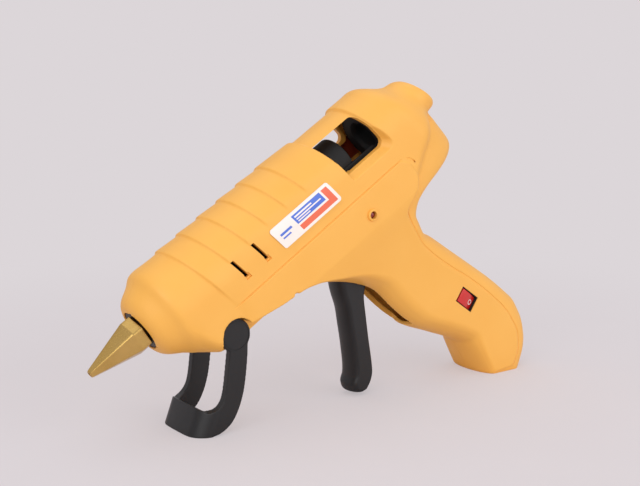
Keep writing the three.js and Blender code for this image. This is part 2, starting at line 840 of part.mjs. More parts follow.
function heaterPiece() {
  const top = -saddleDrop - gap;
  const half = heaterWidth / 2;
  return box(heaterStart, heaterStart + heaterLength, -half, half, top - heaterThick, top);
}

function clampPiece() {
  const end = clampStart + clampLength;
  const half = saddleWidth / 2 + gap;
  const foot = -saddleDrop - heaterThick - gap * 2;
  const ring = (grow, over) => join(
    turned([[clampStart - over, 0], [clampStart - over, chamberRadius + gap + grow],
      [end + over, chamberRadius + gap + grow], [end + over, 0]]),
    box(clampStart - over, end + over, -half - grow, half + grow, foot - grow, 0));
  return cut(ring(clampThick, 0), ring(0, overrun));
}

function holderPiece(at) {
  const slab = box(at, at + holderThick, -barrelRadius, barrelRadius, -holderFoot, barrelRadius);
  const hole = turned([[at - overrun, 0], [at - overrun, chamberRadius + gap],
    [at + holderThick + overrun, chamberRadius + gap], [at + holderThick + overrun, 0]]);
  return cut(common(slab, barrelBody(wall + gap)), hole);
}

function sleevePiece() {
  const start = chamberEnd + gap;
  const step = chamberEnd + spigotLength + gap;
  const end = start + sleeveLength;
  return turned([[start, spigotRadius + gap], [start, sleeveOuter], [end, sleeveLip + sleeveWall],
    [end, sleeveLip], [step + chamberCone, stickBore + gap], [step, stickBore + gap],
    [step, spigotRadius + gap]]);
}

function clipPiece() {
  const inner = sleeveOuter + gap;
  const end = clipAt + clipLength;
  const outer = inner + clipThick;
  const ring = turned([[clipAt, inner], [clipAt, outer], [end, outer], [end, inner]]);
  const ears = box(clipAt, end, -clipEar / 2, clipEar / 2, inner + clipThick / 2, outer + clipEar);
  return cut(join(ring, ears), box(clipAt - overrun, end + overrun, -gap, gap, 0, barrelRadius));
}

// Feed

function guidePiece() {
  const step = guideStart + guideFlangeThick;
  const flareEnd = guideStart + guideFlangeThick / 2;
  return turned([[guideStart, guideMouth], [guideStart, guideFlange], [step, guideFlange],
    [step, guideRadius], [guideEnd, guideRadius], [guideEnd, guideMouth],
    [guideEnd - guideMouthRun, guideBore], [flareEnd, guideBore]]);
}

function carriagePiece() {
  const ringEnd = ringStart + ringLength;
  const foot = -carriageFloor - carriageBase;
  const half = carriageWidth / 2;
  const runner = barrelRadius - wall - runningGap;
  const ring = turned([[ringStart, ringBore], [ringStart, ringRadius], [ringEnd, ringRadius],
    [ringEnd, ringBore]]);
  const bore = turned([[ringStart - overrun, 0], [ringStart - overrun, ringBore],
    [ringEnd + overrun, ringBore], [ringEnd + overrun, 0]]);
  const base = box(carriageStart, jawPivotAt + jawEarHeight, -half, half, foot, -carriageFloor);
  const lugs = box(ringStart, ringEnd, -runner, runner, foot, foot + runnerHeight);
  const ears = box(jawPivotAt - jawEarHeight / 2, jawPivotAt + jawEarHeight / 2, -half, half,
    foot - (jawEarHeight - carriageBase) / 2, foot + (jawEarHeight + carriageBase) / 2);
  const web = box(drivePinAt - driveWebRun / 2, drivePinAt + driveWebRun / 2, -driveWebWidth / 2,
    driveWebWidth / 2, -drivePinDrop - drivePinRadius, foot + carriageBase / 2);
  const pin = crossBar(drivePinAt, -drivePinDrop, drivePinRadius, -triggerWidth / 2, triggerWidth / 2);
  const hookIn = springWire / 2 + gap;
  const lug = box(springHookAt - springPost * 2, springHookAt + springPost, hookIn, half / 2,
    -springDrop - springPost, -carriageFloor);
  const hook = crossBar(springHookAt, -springDrop, springPost, -springWire, half / 2, 12);
  const slotHalf = jawWidth / 2 + gap;
  const slotRun = jawHub + gap;
  const slot = box(jawPivotAt - slotRun, jawPivotAt + slotRun, -slotHalf, slotHalf, foot - overrun, 0);
  const pinHole = crossBar(jawPivotAt, jawPivotZ, jawPinRadius + gap, -half - overrun, half + overrun, 12);
  const cheeks = [-1, 1].map((side) => {
    const y = [side * cheekIn, side * (cheekIn + cheekThick)].sort((a, b) => a - b);
    return box(cheekStart, cheekEnd, ...y, foot, -cheekTop);
  });
  return cut(join(ring, base, lugs, ears, web, pin, lug, hook, ...cheeks), bore, slot, pinHole);
}

function jawPinPiece() {
  return crossBar(jawPivotAt, jawPivotZ, jawPinRadius, -carriageWidth / 2, carriageWidth / 2, 12);
}

function jawPiece() {
  const half = jawWidth / 2;
  const hub = crossBar(jawPivotAt, jawPivotZ, jawHub, -half, half);
  const blade = box(jawPivotAt - jawThick / 2, jawPivotAt + jawThick / 2, -half, half,
    jawPivotZ, jawPivotZ + jawHeight);
  const hole = crossBar(jawPivotAt, jawPivotZ, jawPinRadius + gap, -half - overrun, half + overrun, 12);
  return cut(join(hub, blade), hole);
}

// The return spring: a hook round the carriage's pin, the coils, and a hook round the shell's post
function springPiece() {
  const stepsPerCoil = 8;
  const arcSteps = 8;
  const start = springHookAt + springRadius;
  const run = springPostAt - springRadius - start;
  const points = [];
  const add = (x, y, z) => points.push([x, y, z - springDrop]);
  for (let i = 0; i <= arcSteps; i += 1) {
    const angle = Math.PI * (1.5 * (i / arcSteps) - 1);
    add(springHookAt - springRadius * Math.cos(angle + Math.PI), 0, springRadius * Math.sin(angle));
  }
  for (let i = 0; i <= springCoils * stepsPerCoil; i += 1) {
    const turn = (Math.PI * 2 * i) / stepsPerCoil;
    const at = start + (run * i) / (springCoils * stepsPerCoil);
    add(at, springRadius * Math.sin(turn), springRadius * Math.cos(turn));
  }
  for (let i = 0; i <= arcSteps; i += 1) {
    const angle = Math.PI * (0.5 - 1.5 * (i / arcSteps));
    add(springPostAt + springRadius * Math.cos(angle), 0, springRadius * Math.sin(angle));
  }
  return wireAlong(points, springWire / 2, points.length - 1, 5);
}

// Trigger: the finger piece, its hub and two open arms that straddle the carriage's pin

function triggerPiece() {
  const half = triggerWidth / 2;
  const below = (along, down) => (
    new THREE.Vector3(triggerPivotAt + triggerDrop * along, 0, -triggerPivotDrop - triggerDrop * down));
  const rings = triggerRowShares.map(([frontX, frontDrop, backX, backDrop]) => gripRing({
    front: below(frontX, frontDrop),
    back: below(backX, backDrop),
    half,
    round: triggerRounding,
    backRound: triggerBack,
  }));
  const hub = crossBar(triggerPivotAt, -triggerPivotDrop, triggerHub, -half, half, 18);
  const lean = Math.atan2(drivePinAt - triggerPivotAt, triggerPivotDrop - drivePinDrop);
  const arm = box(-triggerArmWidth / 2, triggerArmWidth / 2, -half, half, 0, triggerArm);
  const slotHalf = drivePinRadius + runningGap;
  const slot = box(-slotHalf, slotHalf, -half - overrun, half + overrun,
    triggerArm - triggerHub, triggerArm + overrun);
  const inside = half - triggerArmThick;
  const notch = box(-triggerArmWidth, triggerArmWidth, -inside, inside,
    triggerNotch, triggerArm + overrun);
  const arms = cut(arm, slot, notch).rotate([0, THREE.MathUtils.radToDeg(lean), 0]);
  const placed = arms.translate(triggerPivotAt, 0, -triggerPivotDrop);
  const holeRadius = triggerPinRadius + gap;
  const hole = crossBar(triggerPivotAt, -triggerPivotDrop, holeRadius, -half - overrun, half + overrun);
  return cut(join(loft(rings), hub, placed), hole);
}

function triggerPinPiece() {
  return crossBar(triggerPivotAt, -triggerPivotDrop, triggerPinRadius, -pivotPinHalf, pivotPinHalf);
}

// Stand, drawn upright with its pivot at the origin

function standPiece() {
  const outline = (shares) => shares.map(([ahead, down]) => [-standDrop * ahead, -standDrop * down, 0]);
  const side = roundedShape([
    ...outline(standRearShares),
    [-standReach, -standDrop, 0],
    ...outline(standFrontShares),
    [-standThick / 2, 0, 0],
  ]);
  const profile = sidePlate(side, -standHalfWidth, standHalfWidth);
  const plan = (half, front) => {
    const corner = standCorner - standHalfWidth + half;
    const outer = roundedShape([[standDisc * 2, -half, 0], [-front, -half, corner],
      [-front, half, corner], [standDisc * 2, half, 0]]).getPoints();
    const ring = (rise, lean) => (
      outer.map(({ x, y }) => new THREE.Vector3(x + lean, y, rise - standDrop)));
    const top = standDrop + standDisc * 2;
    return loft([ring(0, 0), ring(standWallHeight, standWallLean), ring(top, standWallLean)]);
  };
  const inner = standHalfWidth - standThick;
  const frame = common(cut(plan(standHalfWidth, standReach), plan(inner, standReach - standThick)), profile);
  const ends = [-1, 1].map((sign) => join(
    crossBar(0, 0, standDisc, sign * inner, sign * standHalfWidth, 24),
    crossBar(0, 0, standStud, sign * (inner - standStudLength), sign * standHalfWidth, 14)));
  return join(frame, ...ends);
}

// Switch, lamp and label

function housingPiece() {
  const halfLength = rockerLength / 2 + rockerSlack;
  const halfWidth = rockerWidth / 2 + gap;
  const rim = housingRim;
  const block = box(-halfLength - rim, halfLength + rim, -halfWidth - rim, halfWidth + rim,
    housingFace - housingDepth, housingFace);
  const pocket = box(-halfLength, halfLength, -halfWidth, halfWidth,
    housingFace - housingPocket, housingFace + overrun);
  return atSwitch(cut(block, pocket));
}

function rockerPiece() {
  const half = rockerLength / 2;
  const top = half - rockerSlack / 2;
  const foot = -rockerSlack * 2;
  const crown = rockerDepth + foot;
  const profile = roundedShape([[-half, foot, 0], [half, foot, 0], [top, crown - rockerRise, 0],
    [0, crown, 0], [-top, crown - rockerRise, 0]]);
  const body = sidePlate(profile, -rockerWidth / 2, rockerWidth / 2).rotate([0, rockerTiltDegrees, 0]);
  return atSwitch(body.translate(0, 0, housingFace - housingPivot));
}

function terminalPiece(sign) {
  const at = sign * terminalSpread;
  const back = housingFace - housingDepth - gap;
  return atSwitch(box(at - terminalThick / 2, at + terminalThick / 2, -terminalWidth / 2, terminalWidth / 2,
    back - terminalLength, back));
}

function lensPiece() {
  const face = -panelFace - panelRise;
  return crossBar(lampAt, -lampDrop, lensRadius, face, face + lensLength, 14);
}

function lampPiece() {
  const front = -panelFace + lensLength + gap;
  return crossBar(lampAt, -lampDrop, lampRadius, front, front + lampLength - lensLength, 14);
}

// The label follows the barrel's side, with its two ends raked like the ribs
function labelPiece() {
  const end = labelStart + labelLength;
  const sleeve = (out) => loft([labelStart - overrun, end + overrun].map((at) => (
    barrelRing(barrelStation(at, barrelRadius + gap + out, bellyDrop, bellyCorner, rake), 0))));
  const outline = roundedShape([
    [labelStart + labelFoot * rake, -labelFoot, 0],
    [end + labelFoot * rake, -labelFoot, 0],
    [end - labelTop * rake, labelTop, 0],
    [labelStart - labelTop * rake, labelTop, 0],
  ]);
  const near = sidePlate(outline, -barrelRadius - overrun, 0);
  return common(cut(sleeve(labelThick), sleeve(0)), near);
}

// Screws and wires

function screwPiece({ x, z, seat }) {
  const shaft = crossBar(x, z, screwRadius, -screwReach, seat + screwHeadLength, 10);
  const head = crossBar(x, z, screwHead, seat, seat + screwHeadLength, 14);
  return join(shaft, head);
}

function crimpPiece(side) {
  const half = crimpLength / 2;
  const body = turned([[-half, 0], [-half, crimpRadius], [half, crimpRadius], [half, 0]], 12);
  return body.rotate([0, 90 - switchLeanDegrees, 0]).translate(crimpX, side * crimpSpread / 2, crimpZ);
}

// Where a wire meets a crimp or a switch blade, moved aside by the given length
function crimpEnd(side, out = 0, aside = 0) {
  const lean = THREE.MathUtils.degToRad(switchLeanDegrees);
  const back = crimpLength / 2 + gap + out;
  const x = crimpX - back * Math.sin(lean) + aside * Math.cos(lean);
  return [x, side * crimpSpread / 2, crimpZ + back * Math.cos(lean) + aside * Math.sin(lean)];
}

function bladeEnd(sign, out = 0, aside = 0) {
  const lean = THREE.MathUtils.degToRad(switchLeanDegrees);
  const along = sign * terminalSpread;
  const y = housingDepth + terminalLength + gap * 2 + out - housingFace;
  const x = switchAt + along * Math.sin(lean) + aside * Math.cos(lean);
  return [x, y, -switchDrop - along * Math.cos(lean) + aside * Math.sin(lean)];
}

function heaterEnd(side, out = 0) {
  const z = -saddleDrop - gap - heaterThick / 2;
  return [heaterStart + heaterLength + gap + out, side * heaterWidth / 4, z];
}

function lampEnd(side, out = 0) {
  return [lampAt, lampLength + gap * 2 - panelFace + out, -lampDrop + side * lampRadius / 2];
}

// Routes inside the shell, from the cord inlet to the switch, the heater and the lamp
const liveRoute = [crimpEnd(-1), crimpEnd(-1, wireRadius), [177.5, -2, -117], [172, 5, -106],
  bladeEnd(1, wireBend), bladeEnd(1)];
const switchedRoute = [bladeEnd(-1), bladeEnd(-1, wireBend), [162.5, 9.5, -86], [157, 10, -70],
  [150, 11, -52], [145.5, 13, -38], [139, 13.5, -26], [128, 13, -18.8], [112, 12.5, -16.9],
  [97, 12, -16.9], [90, 9, -16.7], [85.5, 5, -16], heaterEnd(1, wireBend), heaterEnd(1)];
const neutralRoute = [crimpEnd(1), crimpEnd(1, wireRadius), [178, 7, -115], [175, 8.3, -104],
  [170, 9, -85], [163, 9.3, -66], [155.5, 9.5, -50], [150, 9.5, -36], [142, 9.3, -25],
  [129, 9.2, -19], [112, 9, -16.9], [97, 8.6, -16.9], [90, 4.5, -16.7], [86, 0, -16],
  heaterEnd(-1, wireBend), heaterEnd(-1)];
const firstLeadRoute = [lampEnd(1), lampEnd(1, wireRadius), [141, -10, -27], [148, -9, -42],
  [154, -4, -60], [160, 1, -76], [165.5, 6, -88],
  bladeEnd(-1, wireBend, wireRadius * 2), bladeEnd(-1, 0, wireRadius * 2)];
const secondLeadRoute = [lampEnd(-1), lampEnd(-1, wireRadius), [140, -10.5, -30], [146, -9.5, -45],
  [151, -7, -62], [156, -3, -72], [164, 2, -84], [172.5, 3.5, -97], [176, 3, -108], [179.2, 4.2, -116],
  crimpEnd(1, wireRadius, wireRadius * 1.8), crimpEnd(1, 0, wireRadius * 1.8)];

const materials = {};

function finish(name, color, roughness, metalness = 0) {
  if (!materials[name]) materials[name] = { color, roughness, metalness };
  return new THREE.MeshStandardMaterial(materials[name]);
}

const gun = new THREE.Group();

function addPart(name, body, material) {
  const mesh = new THREE.Mesh(geometryOf(body), material);
  mesh.name = name;
  gun.add(mesh);
  return mesh;
}

const amber = finish('shell', 0xf6b54e, 0.45);
const black = finish('black', 0x1e1e20, 0.5);
const brass = finish('brass', 0xb0924e, 0.35, 1);
const aluminium = finish('aluminium', 0xb4b6b8, 0.4, 1);
const steel = finish('steel', 0x9a9ca0, 0.35, 1);
const ceramic = finish('ceramic', 0xd8d2c4, 0.7);
const silicone = finish('silicone', 0xb8402a, 0.6);
const red = finish('red', 0xc4201c, 0.3);
const paper = finish('label', 0xf2f2f4, 0.4);
const cable = finish('cable', 0x6a3a2a, 0.6);
const blueCable = finish('blue cable', 0x2a4a8a, 0.6);

const whole = shellWhole();
addPart('shell_left', whole.trimByPlane([0, -1, 0], seam), amber);
addPart('shell_right', whole.trimByPlane([0, 1, 0], seam), amber);
addPart('nozzle', nozzlePiece(), brass);
addPart('melt_chamber', chamberPiece(), aluminium);
addPart('heater_element', heaterPiece(), ceramic);
addPart('heater_clamp', clampPiece(), steel);
addPart('front_holder', holderPiece(frontHolderAt), black);
addPart('rear_holder', holderPiece(rearHolderAt), black);
addPart('silicone_sleeve', sleevePiece(), silicone);
addPart('sleeve_clip', clipPiece(), steel);
addPart('stick_guide', guidePiece(), black);
addPart('feed_carriage', carriagePiece(), black);
addPart('jaw_pin', jawPinPiece(), steel);
addPart('grip_jaw', jawPiece(), steel);
addPart('return_spring', springPiece(), steel);
addPart('trigger', triggerPiece(), black);
addPart('trigger_pin', triggerPinPiece(), steel);
addPart('switch_housing', housingPiece(), black);
addPart('switch_rocker', rockerPiece(), red);
[-1, 1].forEach((sign, i) => addPart(`switch_terminal_${i + 1}`, terminalPiece(sign), brass));
addPart('indicator_lens', lensPiece(), red);
addPart('indicator_lamp', lampPiece(), red);
addPart('side_label', labelPiece(), paper);
screwPlaces.forEach((place, i) => addPart(`shell_screw_${i + 1}`, screwPiece(place), steel));
[-1, 1].forEach((side, i) => addPart(`wire_crimp_${i + 1}`, crimpPiece(side), steel));
addPart('live_wire', wireAlong(liveRoute, wireRadius, 14), cable);
addPart('switched_wire', wireAlong(switchedRoute, wireRadius, 40), cable);
addPart('neutral_wire', wireAlong(neutralRoute, wireRadius, 44), blueCable);
addPart('lamp_lead_1', wireAlong(firstLeadRoute, leadRadius, 26, 5), cable);
addPart('lamp_lead_2', wireAlong(secondLeadRoute, leadRadius, 30, 5), blueCable);
const stand = addPart('stand', standPiece(), black);
stand.position.set(standPivotAt, 0, -standPivotDrop);
stand.rotation.y = pitch;

// The gun is tipped nose down and set on the ground with the middle of its box at the origin
gun.rotation.y = -pitch;
const applicator = new THREE.Group();
applicator.add(gun);
const bounds = new THREE.Box3().setFromObject(applicator, true);
const middle = bounds.getCenter(new THREE.Vector3());
applicator.position.set(-middle.x, -middle.y, -bounds.min.z);

export default applicator;
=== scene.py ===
import json
from math import atan2, cos, hypot, pi, radians, sin, sqrt, tan, tau
import bpy
import bmesh
from mathutils import Matrix, Vector


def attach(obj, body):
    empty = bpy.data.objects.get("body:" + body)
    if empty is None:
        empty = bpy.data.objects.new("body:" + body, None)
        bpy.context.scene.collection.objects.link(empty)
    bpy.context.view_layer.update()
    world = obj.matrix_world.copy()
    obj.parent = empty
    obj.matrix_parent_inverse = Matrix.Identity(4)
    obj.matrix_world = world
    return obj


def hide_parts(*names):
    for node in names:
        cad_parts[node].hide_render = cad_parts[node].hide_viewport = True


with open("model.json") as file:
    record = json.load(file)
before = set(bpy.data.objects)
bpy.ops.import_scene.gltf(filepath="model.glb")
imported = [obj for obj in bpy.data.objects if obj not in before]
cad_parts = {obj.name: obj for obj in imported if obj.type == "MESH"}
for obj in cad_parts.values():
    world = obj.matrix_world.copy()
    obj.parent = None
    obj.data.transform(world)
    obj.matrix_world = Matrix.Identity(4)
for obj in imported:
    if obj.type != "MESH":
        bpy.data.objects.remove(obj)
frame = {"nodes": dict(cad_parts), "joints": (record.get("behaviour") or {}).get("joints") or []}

ops = bmesh.ops
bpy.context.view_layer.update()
scene = bpy.context.scene
joints = {joint["name"]: joint for joint in frame["joints"]}

# The gun is drawn with its barrel level, in millimetres: u rearward from the nozzle tip, y across
# and v up from the barrel axis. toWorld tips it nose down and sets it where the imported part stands.
rearward = -Vector(joints["carriage_slide"]["axis"]).normalized()
upward = Vector((-rearward.z, 0, rearward.x))
triggerPivot = (124, -38)
hinge = Vector(joints["trigger_hinge"]["pos_m"])
origin = hinge - (triggerPivot[0] * rearward + triggerPivot[1] * upward) / 1000
toWorld = Matrix.Translation(origin) @ Matrix((rearward, (0, 1, 0), upward)).transposed().to_4x4()
toWorld = toWorld @ Matrix.Scale(0.001, 4)
pitch = atan2(rearward.z, rearward.x)
coarse = 1


# Mesh tools

def lerp(a, b, share):
    return a + (b - a) * share


def fade(value, low, high):
    share = min(max((value - low) / (high - low), 0), 1)
    return share * share * (3 - 2 * share)


def smoothLine(points):
    # points are (position, value) pairs; the curve through them never overshoots
    xs, ys = zip(*points)
    slope = [(ys[i + 1] - ys[i]) / (xs[i + 1] - xs[i]) for i in range(len(xs) - 1)]
    lean = [slope[0]]
    for before, after in zip(slope, slope[1:]):
        lean.append(0 if before * after <= 0 else 2 * before * after / (before + after))
    lean.append(slope[-1])

    def at(x):
        x = min(max(x, xs[0]), xs[-1])
        i = max(k for k in range(len(xs) - 1) if xs[k] <= x or k == 0)
        run = xs[i + 1] - xs[i]
        t = (x - xs[i]) / run
        return ((2 * t**3 - 3 * t**2 + 1) * ys[i] + (t**3 - 2 * t**2 + t) * run * lean[i]
                + (3 * t**2 - 2 * t**3) * ys[i + 1] + (t**3 - t**2) * run * lean[i + 1])
    return at


def put(name, data):
    # A new object in the scene
    made = bpy.data.objects.new(name, data)
    scene.collection.objects.link(made)
    return made


def piece(bm, name):
    mesh = bpy.data.meshes.new(name)
    bm.to_mesh(mesh)
    bm.free()
    return put(name, mesh)


def tidy(bm):
    ops.remove_doubles(bm, verts=bm.verts, dist=0.0005)
    ops.recalc_face_normals(bm, faces=bm.faces)
    return bm


def skin(rings):
    # A grid whose rows are laid on the rings, welded down the seam and capped
    across = len(rings[0])
    bm = bmesh.new()
    ops.create_grid(bm, x_segments=across, y_segments=len(rings) - 1, size=1)
    bm.verts.ensure_lookup_table()
    for i, vert in enumerate(bm.verts):
        vert.co = rings[i // (across + 1)][i % (across + 1) % across]
    ops.remove_doubles(bm, verts=bm.verts, dist=0.0005)
    ops.holes_fill(bm, edges=[edge for edge in bm.edges if edge.is_boundary])
    return piece(tidy(bm), "skin")


def plate(outline, y0, y1):
    # A side view outline given thickness across the gun
    bm = bmesh.new()
    face = bm.faces.new([bm.verts.new((u, y0, v)) for u, v in outline])
    raised = ops.extrude_face_region(bm, geom=[face])["geom"]
    lifted = [part for part in raised if isinstance(part, bmesh.types.BMVert)]
    ops.translate(bm, verts=lifted, vec=(0, y1 - y0, 0))
    return piece(tidy(bm), "plate")


def turned(profile, steps=64):
    # A closed (u, radius) profile spun round the barrel axis
    bm = bmesh.new()
    verts = [bm.verts.new((u, 0, radius)) for u, radius in profile]
    edges = [bm.edges.new((a, b)) for a, b in zip(verts, verts[1:] + verts[:1])]
    ops.spin(bm, geom=verts + edges, axis=(1, 0, 0), cent=(0, 0, 0), steps=steps,
                   angle=tau, use_merge=True)
    loose = [edge for edge in bm.edges if not edge.link_faces]
    ops.delete(bm, geom=loose, context="EDGES")
    ops.dissolve_degenerate(bm, edges=bm.edges, dist=0.0005)
    return piece(tidy(bm), "turned")


def bar(u, v, radius, y0, y1, steps=32):
    # A round bar across the gun
    bm = bmesh.new()
    ops.create_cone(bm, cap_ends=True, segments=steps, radius1=radius, radius2=radius, depth=y1 - y0)
    ops.rotate(bm, verts=bm.verts, matrix=Matrix.Rotation(-pi / 2, 3, "X"))
    ops.translate(bm, verts=bm.verts, vec=(u, (y0 + y1) / 2, v))
    return piece(tidy(bm), "bar")


def block(u0, u1, y0, y1, v0, v1, bevel=0):
    bm = bmesh.new()
    ops.create_cube(bm, size=1)
    ops.scale(bm, verts=bm.verts, vec=(u1 - u0, y1 - y0, v1 - v0))
    ops.translate(bm, verts=bm.verts, vec=((u0 + u1) / 2, (y0 + y1) / 2, (v0 + v1) / 2))
    if bevel:
        ops.bevel(bm, geom=bm.edges[:], offset=bevel, affect="EDGES", segments=3, profile=0.5, material=-1)
    return piece(tidy(bm), "block")


def rounded(corners, steps=6):
    # A side view outline, (u, v, radius) at each corner, with its corners rounded
    outline = []
    for i, (u, v, radius) in enumerate(corners):
        here = Vector((u, v))
        if not radius:
            outline.append((u, v))
            continue
        before = (Vector(corners[i - 1][:2]) - here).normalized()
        after = (Vector(corners[(i + 1) % len(corners)][:2]) - here).normalized()
        half = before.angle(after) / 2
        reach = radius / tan(half)
        centre = here + (before + after).normalized() * radius / sin(half)
        start, end = here + before * reach - centre, here + after * reach - centre
        for k in range(steps + 1):
            outline.append(tuple(centre + start.slerp(end, k / steps, start).normalized() * radius))
    return outline


def cord(points, radius, steps=10):
    # A round cord along a line of points that stays near one side of the gun
    rings = []
    spots = [Vector(point) for point in points]
    turns = [tau * k / steps for k in range(steps)]
    for spot, last, following in zip(spots, spots[:1] + spots, spots[1:] + spots[-1:]):
        ahead = following - last
        up = ahead.cross((0, 1, 0)).normalized()
        side = up.cross(ahead).normalized()
        rings.append([spot + (side * cos(turn) + up * sin(turn)) * radius for turn in turns])
    return skin(rings)


def bake(made):
    graph = bpy.context.evaluated_depsgraph_get()
    fresh = bpy.data.meshes.new_from_object(made.evaluated_get(graph))
    old = made.data
    made.modifiers.clear()
    made.data = fresh
    bpy.data.meshes.remove(old)
    return made


def combine(made, mode, *tools):
    for tool in tools:
        step = made.modifiers.new(mode, "BOOLEAN")
        step.operation, step.solver, step.object = mode, "MANIFOLD", tool
    bake(made)
    for tool in tools:
        bpy.data.meshes.remove(tool.data)
    return made


def join(made, *tools):
    return combine(made, "UNION", *tools)


def cut(made, *tools):
    return combine(made, "DIFFERENCE", *tools)


def common(made, tool):
    return combine(made, "INTERSECT", tool)


def soften(made, voxel, rounds):
    # A fresh even mesh over a joined shape, with its edges eased as a mould eases them
    step = made.modifiers.new("even", "REMESH")
    step.mode, step.voxel_size = "VOXEL", voxel * coarse
    ease = made.modifiers.new("ease", "SMOOTH")
    ease.factor, ease.iterations = 0.5, rounds
    return bake(made)


def eased(made, width):
    # Rounds the edges that turn by more than 30 degrees
    step = made.modifiers.new("edges", "BEVEL")
    step.width, step.segments, step.limit_method = width, 3, "ANGLE"
    step.angle_limit = radians(30)
    return bake(made)


def moved(made, spot=(0, 0, 0), angle=0, axis="Z"):
    # The piece turned about an axis of its own and then set at the spot
    made.data.transform(Matrix.Translation(spot) @ Matrix.Rotation(angle, 4, axis))
    return made


def ends(side, a, b):
    # The two y values of a tool on one side of the gun, the lower first
    return sorted((side * a, side * b))


def blend(made, weight, rounds):
    # Eases the mesh further where the weight of a point (u, y, v) is above nothing
    group = made.vertex_groups.new(name="ease")
    for vert in made.data.vertices:
        share = weight(*vert.co)
        if share > 0.01:
            group.add([vert.index], share, "REPLACE")
    step = made.modifiers.new("blend", "SMOOTH")
    step.factor, step.iterations, step.vertex_group = 0.5, rounds, group.name
    bake(made)
    made.vertex_groups.clear()
    return made


def thin(made, triangles):
    count = sum(len(face.vertices) - 2 for face in made.data.polygons)
    if count > triangles:
        step = made.modifiers.new("thin", "DECIMATE")
        step.ratio = triangles / count
        bake(made)
    return made


def setDown(made, angle, name, body, slot, finish, *nodes):
    # Puts a finished piece where it belongs, gives it its body and finish and hides the CAD nodes it
    # stands for; the slot is not used. Its shading is smooth, with sharp edges above the angle, or flat where
    # the angle is 0.
    if angle:
        made.data.shade_smooth()
        made.data.set_sharp_from_angle(angle=radians(angle))
    made.name = made.data.name = name
    made.data.transform(toWorld)
    made.data.materials.clear()
    made.data.materials.append(finishes[finish])
    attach(made, body)
    if nodes:
        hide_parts(*nodes)
    return made


# Camera, floor and light

view = {"place": (-0.3055, -0.4201, 0.1606), "back": (-0.5727, -0.8030, 0.1650), "lens": 64.7}
camera = put("camera", bpy.data.cameras.new("camera"))
camera.data.lens, camera.data.sensor_width = view["lens"], 36
camera.data.clip_start = 0.01
camera.location = view["place"]
camera.rotation_euler = (-Vector(view["back"])).to_track_quat("-Z", "Y").to_euler()
scene.camera = camera
scene.view_settings.view_transform = "Standard"


def feed(tree, socket, value):
    if isinstance(value, Sock):
        tree.links.new(value.link, socket)
    else:
        socket.default_value = value


def newNode(tree, kind, settings=None, out=0, **sockets):
    # The settings are set first. Sockets are given by name, or as n0, n1 and so on by number.
    made = tree.nodes.new("ShaderNode" + kind)
    for name, value in (settings or {}).items():
        setattr(made, name, value)
    for name, value in sockets.items():
        key = int(name[1:]) if name[0] == "n" and name[1:].isdigit() else name.replace("_", " ")
        feed(tree, made.inputs[key], value)
    return Sock(tree, made.outputs[out])


# A node's output, which adds a Math node for each operation on it
class Sock:
    def __init__(self, tree, link):
        self.tree, self.link = tree, link

    def math(self, operation, *others, flip=False):
        values = (*others, self) if flip else (self, *others)
        sockets = {f"n{i}": value for i, value in enumerate(values)}
        return newNode(self.tree, "Math", {"operation": operation}, **sockets)

    def __add__(self, other): return self.math("ADD", other)
    def __radd__(self, other): return self.math("ADD", other, flip=True)
    def __sub__(self, other): return self.math("SUBTRACT", other)
    def __rsub__(self, other): return self.math("SUBTRACT", other, flip=True)
    def __mul__(self, other): return self.math("MULTIPLY", other)
    def __rmul__(self, other): return self.math("MULTIPLY", other, flip=True)
    def __gt__(self, other): return self.math("GREATER_THAN", other)
    def __lt__(self, other): return self.math("LESS_THAN", other)
    def __abs__(self): return self.math("ABSOLUTE")


# A material and its Principled shader
class Finish:
    def __init__(self, name, **sockets):
        self.material = bpy.data.materials.new(name)
        self.material.use_nodes = True
        self.tree = self.material.node_tree
        self.shader = self.tree.nodes["Principled BSDF"]
        self.set(**sockets)

    def set(self, **sockets):
        for name, value in sockets.items():
            feed(self.tree, self.shader.inputs[name.replace("_", " ")], value)

    def node(self, kind, settings=None, out=0, **sockets):
        return newNode(self.tree, kind, settings, out, **sockets)

    def place(self):
        return self.node("TexCoord", out=3)

    def noise(self, size, detail=2, rough=0.5, vector=None, warp=0):
        # Noise whose grains are about size millimetres across
        return self.node("TexNoise", Vector=vector or self.place(), Scale=1000 / size, Detail=detail,
                         Roughness=rough, Distortion=warp)

    def mix(self, share, first, second):
        return self.node("Mix", {"data_type": "RGBA"}, out=2, n0=share, n6=first, n7=second)

    def bump(self, height, strength, distance):
        return self.node("Bump", Height=height, Strength=strength, Distance=distance)

    def axes(self, vector=None):
        split = self.node("SeparateXYZ", n0=vector or self.place())
        return [Sock(self.tree, socket) for socket in split.link.node.outputs]


def tint(code):
    # A screen colour such as f6b54e as the linear numbers that sockets take
    parts = [int(code[i:i + 2], 16) / 255 for i in (0, 2, 4)]
    return [x / 12.92 if x <= 0.04045 else ((x + 0.055) / 1.055) ** 2.4 for x in parts] + [1]


def plastic(name, colour, deep, rough=0.42, grain=0.35, patch=18, coat=0.0, within=None):
    # Moulded plastic: faint patches of colour, a fine moulded grain and rubbed spots. within may
    # give the share, from 0 to 1, and the colour of a second tone for each point.
    made = Finish(name, Coat_Weight=coat)
    patches = made.noise(patch, 3)
    fine = made.noise(grain, 1)
    scuffs = made.noise(7, 6, 0.7, warp=0.4)
    tone = made.mix(patches, tint(colour), tint(deep))
    if within:
        share, second = within
        tone = made.mix(share(made), tone, tint(second))
    made.set(Base_Color=tone,
             Roughness=rough + (scuffs - 0.5) * 0.16 + (fine - 0.5) * 0.06,
             Normal=made.bump(fine + scuffs * 0.4, 0.35, 0.00002))
    return made.material


